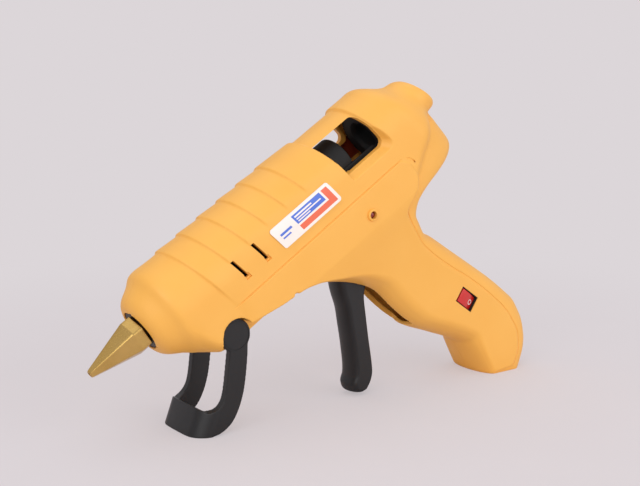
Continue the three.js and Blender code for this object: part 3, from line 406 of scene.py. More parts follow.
def metal(name, colour, deep, rough=0.3, streak=(1, 1, 1), size=1.2, depth=0.00001):
    made = Finish(name, Metallic=1.0)
    stretched = made.node("Mapping", n1=(0, 0, 0), n0=made.place(), n3=streak)
    lines = made.noise(size, 3, 0.6, stretched)
    dirt = made.noise(9, 4, 0.6)
    made.set(Base_Color=made.mix(dirt, tint(colour), tint(deep)),
             Roughness=rough + (lines - 0.5) * 0.18 + (dirt - 0.5) * 0.12,
             Normal=made.bump(lines, 0.3, depth))
    return made.material


# Where the casing takes its painted shade colour, in metres: a box behind the walls and a bore in the nose
inside = {"half": 0.0181, "low": -0.0135, "high": -0.0028, "start": 0.06, "end": 0.172, "bore": 0.0095,
          "boreEnd": 0.036}


def insideCasingShade(made):
    # Above nothing where light only comes through the plastic, which there gets a dark red brown painted shade
    away = made.node("VectorMath", {"operation": "SUBTRACT"}, n0=made.place(), n1=origin)
    along, rise = (made.node("VectorMath", {"operation": "DOT_PRODUCT"}, out=1, n0=away, n1=axis)
                   for axis in (rearward, upward))
    across = made.axes()[1] - origin.y
    radius = (across * across + rise * rise).math("SQRT")
    behind = ((abs(across) < inside["half"]) * (rise < inside["high"]) * (rise > inside["low"])
              * (along > inside["start"]) * (along < inside["end"]))
    return behind.math("MAXIMUM", (radius < inside["bore"]) * (along < inside["boreEnd"]))


finishes = {
    # The amber's second tone, dark red brown, is painted shade inside the casing and in the nose bore
    "amber": plastic("amber moulded plastic", "f7b955", "f3b14a", rough=0.48, within=(insideCasingShade, "8a2c0c")),
    "black": plastic("black moulded plastic", "0c0c0d", "111113", patch=12),
    # A darker copy of the black plastic for the guide, carriage and switch housing: painted shade inside the
    # casing
    "dark": plastic("dull black plastic darkened as painted shade", "060606", "0a0a0b", rough=0.7, patch=12),
    "brown": plastic("red brown rubber", "5a1d10", "4a170c", rough=0.6, patch=6),
    "brass": metal("turned brass", "dcb870", "bd9a52", rough=0.24, streak=(1, 6, 6), size=3, depth=0.000004),
    # The aluminium is painted dark: painted shade on the chamber front seen in the gap round the nozzle
    "aluminium": metal("aluminium darkened as painted shade", "5f5a55", "46413d", rough=0.5, size=0.6, depth=0.00004),
    "steel": metal("bright steel", "b0b2b6", "8d8f94", rough=0.28),
    "ceramic": plastic("fired ceramic", "dcd6c8", "cfc7b5", rough=0.75, grain=0.6, patch=4),
    "silicone": plastic("red silicone", "b4452e", "a33a26", rough=0.55, grain=0.8),
    "cableBrown": plastic("brown cable skin", "6d3d2c", "613425", rough=0.5, patch=5),
    "cableBlue": plastic("blue cable skin", "2b4c8e", "26437e", rough=0.5, patch=5),
    "red": plastic("red switch plastic", "d3251f", "c41c18", rough=0.24, grain=0.5, coat=0.4),
    "lens": plastic("dark red lens", "8f1512", "6e0d0c", rough=0.12, grain=0.5, coat=0.6, patch=1.2),
    "mark": plastic("white marking", "f1eee9", "e6e2dc", rough=0.4, patch=2),
}


print("camera and finishes ready")


# Floor, backdrop and light

backdrop = {"colour": "dcd6d9", "floor": ("dbd4d6", "ded7d9"), "light": "e6e2e6", "ambient": 0.75,
            "near": 0.12, "far": 0.42, "least": 0.56, "size": 6}


def makeStage():
    # The floor near the gun is lit and shadowed; further out it turns into the plain backdrop
    floor = Finish("pale floor", Roughness=0.85)
    floor.set(Base_Color=floor.mix(floor.noise(30, 2), *map(tint, backdrop["floor"])), Specular_IOR_Level=0.2)
    away = floor.node("VectorMath", {"operation": "LENGTH"}, out=1, n0=floor.place())
    share = floor.node("MapRange", {"interpolation_type": "SMOOTHSTEP"}, n0=away, n1=backdrop["near"],
                       n2=backdrop["far"], n3=backdrop["least"], n4=1.0)
    seen = floor.node("LightPath", out=0)
    flat = floor.node("Emission", Color=tint(backdrop["colour"]))
    both = floor.node("MixShader", n0=share * seen, n1=Sock(floor.tree, floor.shader.outputs[0]), n2=flat)
    floor.tree.links.new(both.link, floor.tree.nodes["Material Output"].inputs["Surface"])
    bm = bmesh.new()
    ops.create_grid(bm, x_segments=1, y_segments=1, size=backdrop["size"])
    ground = piece(bm, "floor")
    ground.data.materials.append(floor.material)

    # The camera sees the plain backdrop colour, while the gun is lit by a paler world
    world = bpy.data.worlds.new("studio")
    scene.world = world
    world.use_nodes = True
    tree = world.node_tree
    tree.nodes.remove(tree.nodes["Background"])
    lit = newNode(tree, "Background", Color=tint(backdrop["light"]), Strength=backdrop["ambient"])
    seen = newNode(tree, "Background", Color=tint(backdrop["colour"]))
    mix = newNode(tree, "MixShader", n0=newNode(tree, "LightPath"), n1=lit, n2=seen)
    tree.links.new(mix.link, tree.nodes["World Output"].inputs[0])


lamps = {
    "key": {"spot": (-0.75, -0.6, 0.6), "size": 0.9, "power": 4.5},
    "fill": {"spot": (0.45, -0.95, 0.34), "size": 1.1, "power": 4.8},
    "top": {"spot": (0.1, 0.15, 1.1), "size": 1.1, "power": 2.3},
}


def makeLamps():
    for name, lamp in lamps.items():
        light = bpy.data.lights.new(name, "AREA")
        light.energy, light.size = lamp["power"], lamp["size"]
        holder = put(name, light)
        holder.location = lamp["spot"]
        aim = Vector((0, 0, 0.07)) - Vector(lamp["spot"])
        holder.rotation_euler = aim.to_track_quat("-Z", "Y").to_euler()


makeStage()
makeLamps()
print("stage and lamps ready")


# Shell

noseRim = [(27.1, 8.6), (27.3, 10.2), (27.8, 12.0), (28.8, 13.5), (30.5, 15.0), (32.8, 16.2), (35.8, 17.8)]
shell = {
    "wall": 2.2, "seam": 0.04, "voxel": 0.4, "triangles": 188000, "front": 27.1,
    "rake": tan(radians(15)),
    "nose": [*noseRim, (39.3, 20.4), (44, 20.6), (50, 20.3), (58.3, 20.1), (174, 20.1)],
    "belly": [*noseRim[:3], (28.8, 13.7), (30.5, 15.5), (32.8, 17.2), (35.8, 19.2), (39.3, 21.8),
              (41.6, 23.6), (44.6, 25.9), (47.7, 27.2), (50.9, 27.5), (170, 27.5)],
    "corner": [*noseRim, (39.3, 18.4), (41.6, 15.1), (44.6, 9.4), (47.7, 5.8), (50.9, 5), (170, 5)],
    "leans": [(38.7, 0), (58.3, 1), (174, 1), (192.5, 1.82), (200, 1.82)],
    "shoulder": 174, "collar": 10.9,
    "tail": [(174, 20.1), (178, 20.3), (181, 20.0), (184.5, 18.6), (188, 16.2), (191, 13.6), (193.8, 11.7),
             (196, 10.9), (200, 10.9)],
    "lip": 6, "end": 203.5, "radius": 20.1, "bore": 9.1,
    "ribStart": 59.2, "ribPitch": 11.9, "ribs": 6, "ribRise": 0.85, "ribEdge": 0.45,
    "ribFades": [(-16, 0), (3, 9), (3, 9), (6, 10), (6, 10), (6, 10)],
    "window": (138.5, 164.5), "barDrop": 1.3, "tailStart": 161.5, "tailRun": 31,
}


ribLines = [shell["ribStart"] + shell["ribPitch"] * k for k in range(shell["ribs"])]


def ribRise(u, v):
    # Height of the raked ribs over the barrel: a short step up, then a long slope down
    edge, (start, end) = shell["ribEdge"], shell["window"]
    if u < ribLines[0] - edge or u >= end + edge:
        return 0
    drop = fade(u, start - edge, start + edge) * (1 - fade(u, end - edge, end + edge))
    drop *= shell["barDrop"] * fade(v, 6, 11)
    if u > start:
        return -drop
    k = min(int((u - ribLines[0] + edge) / shell["ribPitch"]), shell["ribs"] - 1)
    into = u - ribLines[k]
    slope = 1 - max(into, 0) / ([*ribLines[1:], start][k] - ribLines[k])
    rise = fade(into, -edge, edge * 0.4) * slope * shell["ribRise"]
    return rise * fade(v, *shell["ribFades"][k]) - drop


def barrelSkin(inset):
    # Rings down the raked barrel, from the nose to the tail, closer together where it steps
    radiusAt, bellyAt, cornerAt = (smoothLine(shell[key]) for key in ("nose", "belly", "corner"))
    leanAt, tailAt = smoothLine(shell["leans"]), smoothLine(shell["tail"])
    spots = []
    u = shell["front"]
    while u < shell["end"] - shell["lip"]:
        spots.append(u)
        near = any(abs(u - step) < 1.2 for step in (*ribLines, *shell["window"]))
        u += 0.15 if u < 30 or near else 0.7
    rings = []
    for u in spots:
        if inset and u < shell["front"] + inset * 2:
            continue
        tail = min(max((u - shell["tailStart"]) / shell["tailRun"], 0), 1)
        radius = (radiusAt(u) if u < shell["shoulder"] else tailAt(u)) - inset
        floor = lerp(bellyAt(u), shell["collar"], tail) - inset
        corner = max(lerp(cornerAt(u), shell["collar"], tail) - inset, shell["wall"])
        lean = shell["rake"] * leanAt(u)
        ring = []
        for i in range(1, 60):
            angle = pi * i / 60
            v = radius * sin(angle)
            rise = ribRise(u, v)
            reach = radius + (min(rise, 0) if inset else rise)
            ring.append((u - v * lean, reach * cos(angle), reach * sin(angle)))
        line = []
        for k in range(6):
            v = -(floor - corner) * k / 6
            line.append((radius + (0 if inset else ribRise(u, v) * (1 - k / 6)), v))
        for k in range(13):
            angle = pi / 2 * k / 12
            line.append((radius - corner + corner * cos(angle), -(floor - corner) - corner * sin(angle)))
        ring += [(u - v * lean, -y, v) for y, v in line]
        rings.append(ring + [(u - v * lean, y, v) for y, v in line[::-1]])
    if not inset:
        base = rings[-1]
        lean = shell["rake"] * leanAt(shell["end"])
        for k in range(1, 13):
            angle = pi / 2 * k / 12
            share = 1 - shell["lip"] * (1 - cos(angle)) / shell["collar"]
            at = shell["end"] - shell["lip"] * (1 - sin(angle))
            rings.append([(at - v * share * lean, y * share, v * share) for _, y, v in base])
    return skin(rings)


grip = {
    "length": 208, "drop": 156, "half": 14, "panelHalf": 20.2, "rise": 0.6, "rounding": 11,
    "lead": 44, "top": 11.4, "foot": 21.6, "fade": 24, "roll": 3, "soleEdge": 1.5, "webHalf": 17, "step": 1.1,
    "panelTop": [(11.4, 166.6), (13.0, 169.0), (16.0, 171.2), (21.6, 172.0)], "leadFloor": -27.1,
    # front u, front v, back u, back v, border u, width, rounding: shares, row by row down the grip
    "rows": [
        (0.433, 0.01, 0.972, 0.07, 0.826, -0.35, 0.15), (0.433, 0.06, 0.975, 0.1, 0.826, 0.6, 0.15),
        (0.433, 0.14, 0.983, 0.15, 0.826, 1, 0.15), (0.44, 0.172, 0.988, 0.186, 0.812, 1, 0.2),
        (0.459, 0.19, 0.972, 0.211, 0.782, 0.93, 0.3), (0.483, 0.211, 0.919, 0.219, 0.766, 0.85, 0.4),
        (0.507, 0.238, 0.846, 0.238, 0.757, 0.72, 0.55), (0.536, 0.27, 0.8, 0.28, 0.755, 0.55, 0.75),
        (0.572, 0.317, 0.797, 0.34, 0.757, 0.36, 0.95), (0.606, 0.385, 0.819, 0.395, 0.769, 0.2, 1),
        (0.623, 0.474, 0.851, 0.485, 0.799, 0.06, 1), (0.647, 0.564, 0.881, 0.571, 0.833, 0, 1),
        (0.7, 0.662, 0.915, 0.671, 0.864, 0, 1), (0.744, 0.742, 0.938, 0.753, 0.883, 0.02, 0.85),
        (0.755, 0.772, 0.946, 0.789, 0.887, 0.06, 0.6), (0.7545, 0.825, 0.944, 0.836, 0.887, 0.12, 0.48),
        (0.7535, 0.865, 0.93, 0.9, 0.873, 0.16, 0.45), (0.7528, 0.88, 0.914, 0.938, 0.855, 0.16, 0.45),
        (0.753, 0.8865, 0.886, 0.975, 0.83, 0.16, 0.45)],
    "sole": (0.7545, 0.8559, 0.8988726), "edge": 6,
}


def gripRows(panel):
    # The rows as lengths: front and back points, border, half width and front rounding
    length, drop = grip["length"], grip["drop"]
    rows = []
    for frontU, frontV, backU, backV, border, width, rounding in grip["rows"]:
        rows.append([length * frontU, -drop * frontV, length * backU, -drop * backV, length * border,
                     lerp(grip["half"], grip["panelHalf"], width), grip["rounding"] * rounding])
    if panel:
        # The panel starts higher up than the grip, with a level top and a rounded rear corner
        rows = [rows[1], rows[1][:], rows[1][:], *rows[2:]]
        for row, (drop, border) in zip(rows, grip["panelTop"]):
            row[:2], row[3:6], row[6] = (grip["lead"], -drop), (-drop, border, grip["panelHalf"]), grip["fade"]
        rows[4][:2] = rows[4][0] - grip["roll"], grip["leadFloor"]
    return rows


def denseRows(rows, step=grip["step"]):
    # More rows between the given ones, on smooth curves
    at = [0]
    for row, last in zip(rows[1:], rows):
        at.append(at[-1] + max(hypot(row[0] - last[0], row[1] - last[1]) / 2
                               + hypot(row[2] - last[2], row[3] - last[3]) / 2, 0.5))
    lines = [smoothLine(list(zip(at, column))) for column in zip(*rows)]
    count = max(int(at[-1] / step), len(rows))
    return [[line(at[-1] * k / count) for line in lines] for k in range(count + 1)]


def rowEnds(row):
    # A row's front and back points and the direction between them
    front, back = Vector(row[:2]), Vector(row[2:4])
    return front, back, (back - front).normalized()


def soleLine():
    # The sole's front and back points, on a line that is level once the gun is tipped
    front, back, drop = grip["sole"]
    u0, u1, v0 = grip["length"] * front, grip["length"] * back, -grip["drop"] * drop
    return u0, v0, u1, v0 - (u1 - u0) * tan(pitch)


def gripRing(front, back, half, rounding, backRounding, steps=18, flat=22):
    # A cross section of the grip, rounded by an elliptical arc at either end
    along = back - front
    length = along.length
    along.normalize()
    turns = [pi / 2 * i / steps for i in range(steps + 1)]
    side = [(rounding * (1 - cos(turn)), half * sin(turn)) for turn in turns]
    side += [(lerp(rounding, length - backRounding, i / flat), half) for i in range(1, flat)]
    side += [(length - backRounding * (1 - sin(turn)), half * cos(turn)) for turn in turns]
    near = [(distance, -y) for distance, y in side[1:-1]]
    spots = [(front + along * distance, y) for distance, y in near + side[::-1]]
    return [(spot.x, y, spot.y) for spot, y in spots]


def gripSkin(inset):
    rows = denseRows(gripRows(False))
    last = rows[-1]
    sole = [*soleLine(), last[4], last[5] - grip["rise"], last[6]]
    if inset:
        rows = rows[:-14]
    else:
        for k in range(1, 9):
            angle = pi / 2 * k / 8
            row = [lerp(a, b, sin(angle)) for a, b in zip(last, sole)]
            row[5] = last[5] - grip["soleEdge"] * (1 - cos(angle))
            rows.append(row)
    rings = []
    for row in rows:
        border, half, rounding = row[4:]
        front, back, along = rowEnds(row)
        backRounding = max((back.x - border) / along.x, grip["roll"])
        rings.append(gripRing(front + along * inset, back - along * inset, min(half, grip["webHalf"]) - inset,
                              max(rounding - inset / 2, shell["wall"] / 2),
                              max(backRounding - inset, shell["wall"])))
    if inset:
        rings[0] = [(u, y, v - inset) for u, y, v in rings[0]]
    return skin(rings)


def borderReach(frontU, border, along, half):
    # How far the panel runs back from the front edge so that its roll meets the web at the border
    roll = grip["edge"]
    face = half + grip["rise"]
    past = roll * (1 - sqrt(1 - (min(half, grip["webHalf"]) / face) ** 2))
    return (border - frontU) / along.x + past


def panelSkin(rows, inset):
    rings = []
    for row in denseRows(rows):
        border, half, rounding = row[4:]
        front, _, along = rowEnds(row)
        reach = borderReach(front.x, border, along, half)
        rings.append(gripRing(front + along * (grip["rise"] + inset), front + along * (reach - inset),
                              half + grip["rise"] - inset, max(rounding, grip["roll"]), grip["edge"] - inset))
    return skin(rings)


def panelCore():
    # The hollow behind the panel, where the panel is wider than the web
    rows = [row for row in gripRows(False)[1:] if row[5] > grip["webHalf"]]
    for row, v in zip(rows, (grip["top"] + shell["wall"], grip["foot"])):
        row[1], row[3], row[5] = -v, -v, grip["panelHalf"]
    return panelSkin(rows, shell["wall"])


panelFace = grip["panelHalf"] + grip["rise"]
groove = {"radius": 0.42, "start": 60.5, "end": 165.8, "parts": 60, "barrel": 20.35, "panel": 20.25}


def grooves():
    # The fine lines above the panel and down its rear border, on both sides
    border = []
    for frontU, frontV, backU, backV, borderU, half, _ in denseRows(gripRows(True)):
        share = (borderU - frontU) / (backU - frontU)
        v = lerp(frontV, backV, share)
        over, under = min(groove["panel"], half + grip["rise"]), min(half, grip["webHalf"]) + 0.1
        out = lerp(over, under, fade(-v, 15, 23))
        border.append((borderU + 0.25, out, v))
    level = [(lerp(groove["start"], groove["end"], k / groove["parts"]), groove["barrel"], 0.2 - grip["top"])
             for k in range(groove["parts"] + 1)]
    return [cord([(u, side * y, v) for u, y, v in line], groove["radius"])
            for side in (-1, 1) for line in (level, border[1:])]


window = {"start": 138.9, "end": 164.0, "top": 16.6, "sill": 1.2, "bevel": 3, "depth": 4.7, "corner": 3}


def windowOutline(spread):
    rake = shell["rake"]
    rear, foot = window["end"] + spread, -window["sill"] - spread
    return rounded([(window["start"] + window["sill"] * rake, foot, 0),
                    (rear + window["sill"] * rake, foot, window["corner"]),
                    (rear - window["top"] * rake, window["top"], window["corner"]),
                    (window["start"] - window["top"] * rake, window["top"], 0)])


def windowTool(y0, y1, grow, shift=0):
    # A prism through the window between two depths, whose sill and rear spread on the way out
    near, far = windowOutline(0), windowOutline(window["bevel"] * grow)
    return skin([[(lerp(a[0], b[0], share) + shift, lerp(y0, y1, share), lerp(a[1], b[1], share) - shift)
                  for a, b in zip(near, far)] for share in (k / 6 for k in range(7))])


def windowFrame(side, spread):
    outside = shell["radius"] + grip["rise"] + 0.3
    inside = outside - window["depth"] - spread
    return windowTool(side * inside, side * outside, 1, spread)


stand = {"at": (55.5, -22.7), "half": 17, "thick": 3.5, "disc": 7.2, "reach": 20.5, "corner": 8,
         "stud": 2.4, "recess": 8, "rampEnd": 87, "rampDrop": 27, "rampFoot": -31.5, "drop": 42.5137,
         "rear": 12.4, "bow": 1.2, "lean": 5.3, "rise": 14, "voxel": 0.3,
         "rearEdge": [(0, -6.2), (10, -5.7), (17.6, -4.9), (23.9, -3.9), (29.5, -2.3), (34.2, -0.2),
                      (37.5, 2.0), (40, 4.9), (41.7, 8.3), (42.5, 12.5)],
         "frontEdge": [(7.3, 2.9), (13.8, 3.7), (22.8, 4.9), (26.5, 5.8), (29.2, 7.2), (31.2, 9.4),
                       (32.3, 12.4)]}


def standPocket(side, spread):
    # Room beside the body for a cheek of the stand and for its way up to the barrel
    ys = ends(side, stand["half"] - stand["thick"] - 0.3 - spread, grip["panelHalf"] + 4)
    (u, v), foot = stand["at"], stand["rampFoot"]
    front, rear = u - stand["recess"] - spread, stand["rampEnd"] + spread
    ramp = [(front, v), (front, foot), (rear, foot), (rear, -stand["rampDrop"] + spread),
            (u + stand["disc"], -grip["foot"] + spread)]
    return join(bar(u, v, stand["recess"] + spread, *ys, steps=48), plate(ramp, *ys))


edgeNotch = {"outline": [(62.3, -21.6), (68.6, -24.6), (63.2, -26.4)], "rear": (86.4, 88.6)}
slotHalf = 7.6
slotShares = [(0.507, 0.205), (0.567, 0.231), (0.63, 0.32), (0.658, 0.45), (0.667, 0.52),
              (0.663, 0.57), (0.62, 0.595), (0.567, 0.513), (0.538, 0.385), (0.48, 0.27)]
switch = {"u": 166.3, "v": -96.8, "lean": 22.2, "length": 11.2, "width": 7.6, "slack": 0.5, "gap": 0.3,
          "face": 11.5, "rim": 14.3, "depth": 4.8, "rise": 0.8, "tilt": 8}
lamp = {"at": (138.7, -22.1), "length": 7, "collar": 4, "hole": 1.8, "bulbHole": 2.6,
        "ring": [(0, 1.2), (0, 2.75), (0.7, 2.75), (1.05, 2.6), (1.2, 2.3), (1.1, 1.2)],
        "lens": [(0, 0), (0.15, 0.8), (0.5, 1.3), (0.8, 1.5), (3.6, 1.5), (3.6, 0)]}
toSwitch = (Matrix.Translation((switch["u"], 0, switch["v"]))
            @ Matrix.Rotation(radians(90 - switch["lean"]), 4, "Y")
            @ Matrix.Rotation(radians(90), 4, "X"))
screwPlaces = [(grip["length"] * u, -grip["drop"] * v, grip["panelHalf"] * seat) for u, v, seat in (
    (0.24, -0.082, 0.5), (0.442, 0.143, 0.8), (0.77, 0.256, 0.7),
    (0.894, 0.141, 0.66), (0.808, 0.82, 0.52), (0.827, -0.088, 0.42))]
screw = {"hole": 1.55, "deep": 9.3, "sink": 3.1, "shaft": 1.25, "head": 2.8, "recess": (0.9, 3.4, 0.6)}
noseHole = {"profile": [(20.5, 0), (20.5, 10), (26.9, 10), (27.4, 9.6), (28.1, 9.4), (29, 9.5),
                        (34.6, 9.5), (34.6, 0)],
            "notch": (20.5, 28.9, -0.8, 0.8, 8, 10.2), "notchTurns": (12, 138)}
pinBore = {"radius": 2.3, "reach": 13.3}
inlet = {"radius": 4, "inset": 9, "height": 9.6}


def atSwitch(made):
    made.data.transform(toSwitch)
    return made


vent = {"foot": -4.2, "top": 6, "wide": 1.7, "depth": 4.4}
fitting = {"tailPost": (176, -15, 1.9), "boss": 3.3, "pivot": 4.5, "rail": (118.3, 144.3, -14.7, -12.7),
           "railDepth": 4.3, "stop": (136.3, 143.5, -8.7, -1.5), "stopReach": 12.2, "studReach": 8}


def ventTool(side, at):
    # A vent slot, raked like the ribs
    foot, top, wide, rake = vent["foot"], vent["top"], vent["wide"], shell["rake"]
    outline = [(at - foot * rake, foot), (at + wide - foot * rake, foot), (at + wide - top * rake, top),
               (at - top * rake, top)]
    return plate(outline, *ends(side, shell["radius"] - vent["depth"], shell["radius"] + 4))


def shellFittings():
    # Bosses, rails, stops and the walls round the pockets, before they are trimmed to the casing
    outside, wall = shell["radius"], shell["wall"]
    pieces = [bar(*lamp["at"], lamp["collar"], -panelFace, -panelFace + lamp["length"])]
    pieces += [bar(u, v, fitting["boss"], -panelFace, panelFace) for u, v, _ in screwPlaces]
    for side in (-1, 1):
        pieces.append(bar(*triggerPivot, fitting["pivot"], *ends(side, fitting["studReach"], panelFace)))
        for (u0, u1, v0, v1), reach in ((fitting["rail"], outside - fitting["railDepth"]),
                                        (fitting["stop"], fitting["stopReach"])):
            pieces.append(block(u0, u1, *ends(side, reach, outside), v0, v1))
        pieces += [standPocket(side, wall), windowFrame(side, wall),
                   bar(*stand["at"], stand["stud"] + wall, *ends(side, fitting["studReach"], stand["half"]))]
    return join(bar(*fitting["tailPost"], -panelFace, panelFace), *pieces)


def softHoles():
    # The larger hollows, whose edges the mould rounds
    holes = []
    for side in (-1, 1):
        holes += [windowFrame(side, 0), standPocket(side, 0),
                  plate(edgeNotch["outline"], *ends(side, 17.5, 24)),
                  block(*edgeNotch["rear"], *ends(side, 18.6, 24), -30, -25.4)]
    slot = [(grip["length"] * u, -grip["drop"] * v) for u, v in slotShares]
    return holes + [plate(slot, -slotHalf, slotHalf)]


def crispHoles():
    # Bores, vents and the other openings with sharp edges, and the grooves
    holes = []
    for u, v, seat in screwPlaces:
        holes += [bar(u, v, screw["hole"], -screw["deep"], seat),
                  bar(u, v, screw["sink"], seat - 0.3, panelFace + 4, steps=48)]
    for side in (-1, 1):
        for at in ribLines[1:3]:
            foot = [(at + 0.2, -2.2), (at + 2.9, -2.2), (at + 3.6, -5), (at + 0.9, -5)]
            holes += [ventTool(side, at), plate(foot, *ends(side, 19.3, 24))]
        face = stand["half"] - stand["thick"]
        holes.append(bar(*stand["at"], stand["stud"] + 0.3, *ends(side, face, face - 3.3)))
    holes.append(turned(noseHole["profile"], 96))
    holes += [moved(block(*noseHole["notch"], 0.3), angle=radians(turn), axis="X")
              for turn in noseHole["notchTurns"]]
    shaft, inner = pinBore["radius"], -panelFace + lamp["length"]
    holes += [turned([(174, 0), (174, shell["bore"]), (214.4, shell["bore"]), (214.4, 0)], 96),
              bar(*triggerPivot, shaft, -pinBore["reach"], pinBore["reach"]),
              bar(*lamp["at"], lamp["hole"], -panelFace - 4, inner),
              bar(*lamp["at"], lamp["bulbHole"], -panelFace + 3, inner + 0.3),
              windowTool(-shell["radius"], shell["radius"], 0)]
    half, wide = switch["length"] / 2 + switch["slack"], switch["width"] / 2 + switch["gap"]
    holes.append(atSwitch(block(-half, half, -wide, wide, switch["face"] - 0.3, 18.6)))
    _, _, u, v = soleLine()
    start = Vector((u, 0, v)) + Matrix.Rotation(pitch, 3, "Y") @ Vector((-inlet["inset"], 0, inlet["height"]))
    holes.append(moved(turned([(0, 0), (0, inlet["radius"]), (23, inlet["radius"]), (23, 0)], 48),
                       start, pitch, "Y"))
    return holes + grooves()


def makeShell():
    # One hollow casing with its fittings and openings, then split on the middle plane
    outer = join(barrelSkin(0), gripSkin(0), panelSkin(gripRows(True), 0))
    solid = put("solid", outer.data.copy())
    inner = join(barrelSkin(shell["wall"]), gripSkin(shell["wall"]), panelCore())
    fittings = common(shellFittings(), solid)
    whole = cut(join(cut(outer, inner), fittings), *softHoles())
    soften(whole, shell["voxel"], 2)
    # The nose and the join of tail and web are eased the most
    blend(whole, lambda u, y, v: 0.9 * (1 - fade(u, 38, 50)) + fade(u, 169, 177) * fade(v, -36, -24), 90)
    print("shell softened", len(whole.data.polygons))
    u, v = lamp["at"]
    join(whole, moved(turned(lamp["ring"], 48), (u, -panelFace + 0.2, v), -pi / 2))
    cut(whole, *crispHoles())
    print("shell cut", len(whole.data.polygons))
    for side, name in ((-1, "shell_left"), (1, "shell_right")):
        bm = bmesh.new()
        bm.from_mesh(whole.data)
        split = ops.bisect_plane(bm, geom=bm.verts[:] + bm.edges[:] + bm.faces[:], dist=0.0001,
                                       plane_co=(0, side * shell["seam"], 0), plane_no=(0, -side, 0),
                                       clear_outer=True)
        rim = [part for part in split["geom_cut"] if isinstance(part, bmesh.types.BMEdge)]
        ops.triangle_fill(bm, use_beauty=True, edges=rim, normal=(0, -side, 0))
        half = piece(bm, name)
        thin(half, shell["triangles"])
        setDown(half, 40, name + "_body", "gun", "amber_shell", "amber", name)
        print(name, len(half.data.polygons), "faces")
    bpy.data.meshes.remove(whole.data)


makeShell()
print("shell ready")

# Nozzle

nozzle = {"tip": 1.9, "hex": 8.3, "cone": 22.2, "length": 27.5, "ridge": 0.012}


def makeNozzle():
    # A six sided cone that runs into a six sided nut, with its ridges barely rounded
    tip, corner, cone, length = (nozzle[key] for key in ("tip", "hex", "cone", "length"))
    slope = [(cone * k / 24, lerp(tip, corner, k / 24)) for k in range(1, 25)]
    stations = [(0, tip - 0.25), (0.25, tip), *slope, (cone + 0.5, corner), (length - 0.8, corner),
                (length, corner - 0.8)]
    outline = []
    for turn in (tau * k / 96 for k in range(96)):
        into = (turn + pi / 6) % (pi / 3) - pi / 6
        reach = min(cos(pi / 6) / cos(pi / 6 - abs(into)), 1 - nozzle["ridge"])
        outline.append((-reach * sin(turn), reach * cos(turn)))
    made = skin([[(u, radius * y, radius * v) for y, v in outline] for u, radius in stations])
    thread = turned([(25.3, 1.1), (25.3, 4.6), (37.5, 4.6), (37.5, 1.1)])
    bore = turned([(-1, 0), (-1, 1.25), (0.2, 1.1), (9, 1.1), (18, 2.8), (41.5, 2.8), (41.5, 0)], 48)
    cut(join(made, thread), bore)
    setDown(made, 24, "nozzle_turned", "gun", "brass", "brass", "nozzle")


makeNozzle()


# Stand

def standPlan(half, front):
    # The U of the stand seen from above: its front wall bows out a little and leans back going up
    corner, rear = stand["corner"] - stand["half"] + half, stand["rear"]
    outline = rounded([(rear, -half, 0), (-front, -half, corner), (-front, half, corner), (rear, half, 0)], 14)
    dense = []
    for (x0, y0), (x1, y1) in zip(outline, outline[1:]):
        steps = max(int(hypot(x1 - x0, y1 - y0) / 1.2), 1)
        dense += [(lerp(x0, x1, k / steps), lerp(y0, y1, k / steps)) for k in range(steps)]
    dense.append(outline[-1])
    dense = [(x - stand["bow"] * max(1 - (y / half) ** 2, 0) * fade(-x, 0, front), y) for x, y in dense]
    rings = []
    for k in range(45):
        rise = -1 + 58 * k / 44
        shift = stand["lean"] * min(max(rise, 0), stand["rise"]) / stand["rise"]
        rings.append([(x + shift, y, rise - stand["drop"]) for x, y in dense])
    return skin(rings)


def makeStand():
    # The U is cut to the stand's side view, then gets its pivot discs, studs and the rims of the discs
    drop, half, thick, reach = stand["drop"], stand["half"], stand["thick"], stand["reach"]
    rear, front = smoothLine(stand["rearEdge"]), smoothLine(stand["frontEdge"])
    throat = stand["frontEdge"][-1][0]
    side = [(-rear(drop * k / 60), -drop * k / 60) for k in range(61)]
    side += [(-reach - 2, -drop), (-16.6, -30.4), (-14.2, -31.4), (-13.5, -31.9), (-12.8, -32.4)]
    side += [(-front(lerp(throat, 0, k / 40)), -lerp(throat, 0, k / 40)) for k in range(41)]
    bail = cut(standPlan(half, reach - stand["bow"]), standPlan(half - thick, reach - thick - stand["bow"]))
    common(bail, plate(side, -half - 2, half + 2))
    for sign in (-1, 1):
        join(bail, bar(0, 0, stand["disc"], *ends(sign, half - thick, half), steps=64),
             bar(0, 0, stand["stud"], *ends(sign, half - thick - 3, half - 1)))
    soften(bail, stand["voxel"], 3)
    for y in (-half - 0.12, half - 0.16):
        cut(bail, moved(turned([(0, 5.9), (0.28, 5.9), (0.28, 6.4), (0, 6.4)], 64), (0, y, 0), pi / 2))
    thin(bail, 90000)
    moved(bail, (stand["at"][0], 0, stand["at"][1]), pitch, "Y")
    setDown(bail, 50, "stand_bail", "stand", "black_plastic", "black", "stand")


makeStand()
print("nozzle and stand ready")


# Trigger

trigger = {
    "drop": 62, "half": 6.5, "rounding": 3.2, "back": 2, "hub": 5.5, "voxel": 0.26,
    "rows": [
        (-0.09, -0.02, 0.09, 0.02), (-0.145, 0.11, 0.09, 0.16), (-0.185, 0.225, 0.06, 0.275),
        (-0.212, 0.34, -0.005, 0.35), (-0.265, 0.47, -0.07, 0.485), (-0.335, 0.635, -0.143, 0.645),
        (-0.438, 0.83, -0.23, 0.845), (-0.487, 0.87, -0.262, 0.905), (-0.5, 0.915, -0.31, 0.95),
        (-0.476, 0.955, -0.37, 0.98)],
}


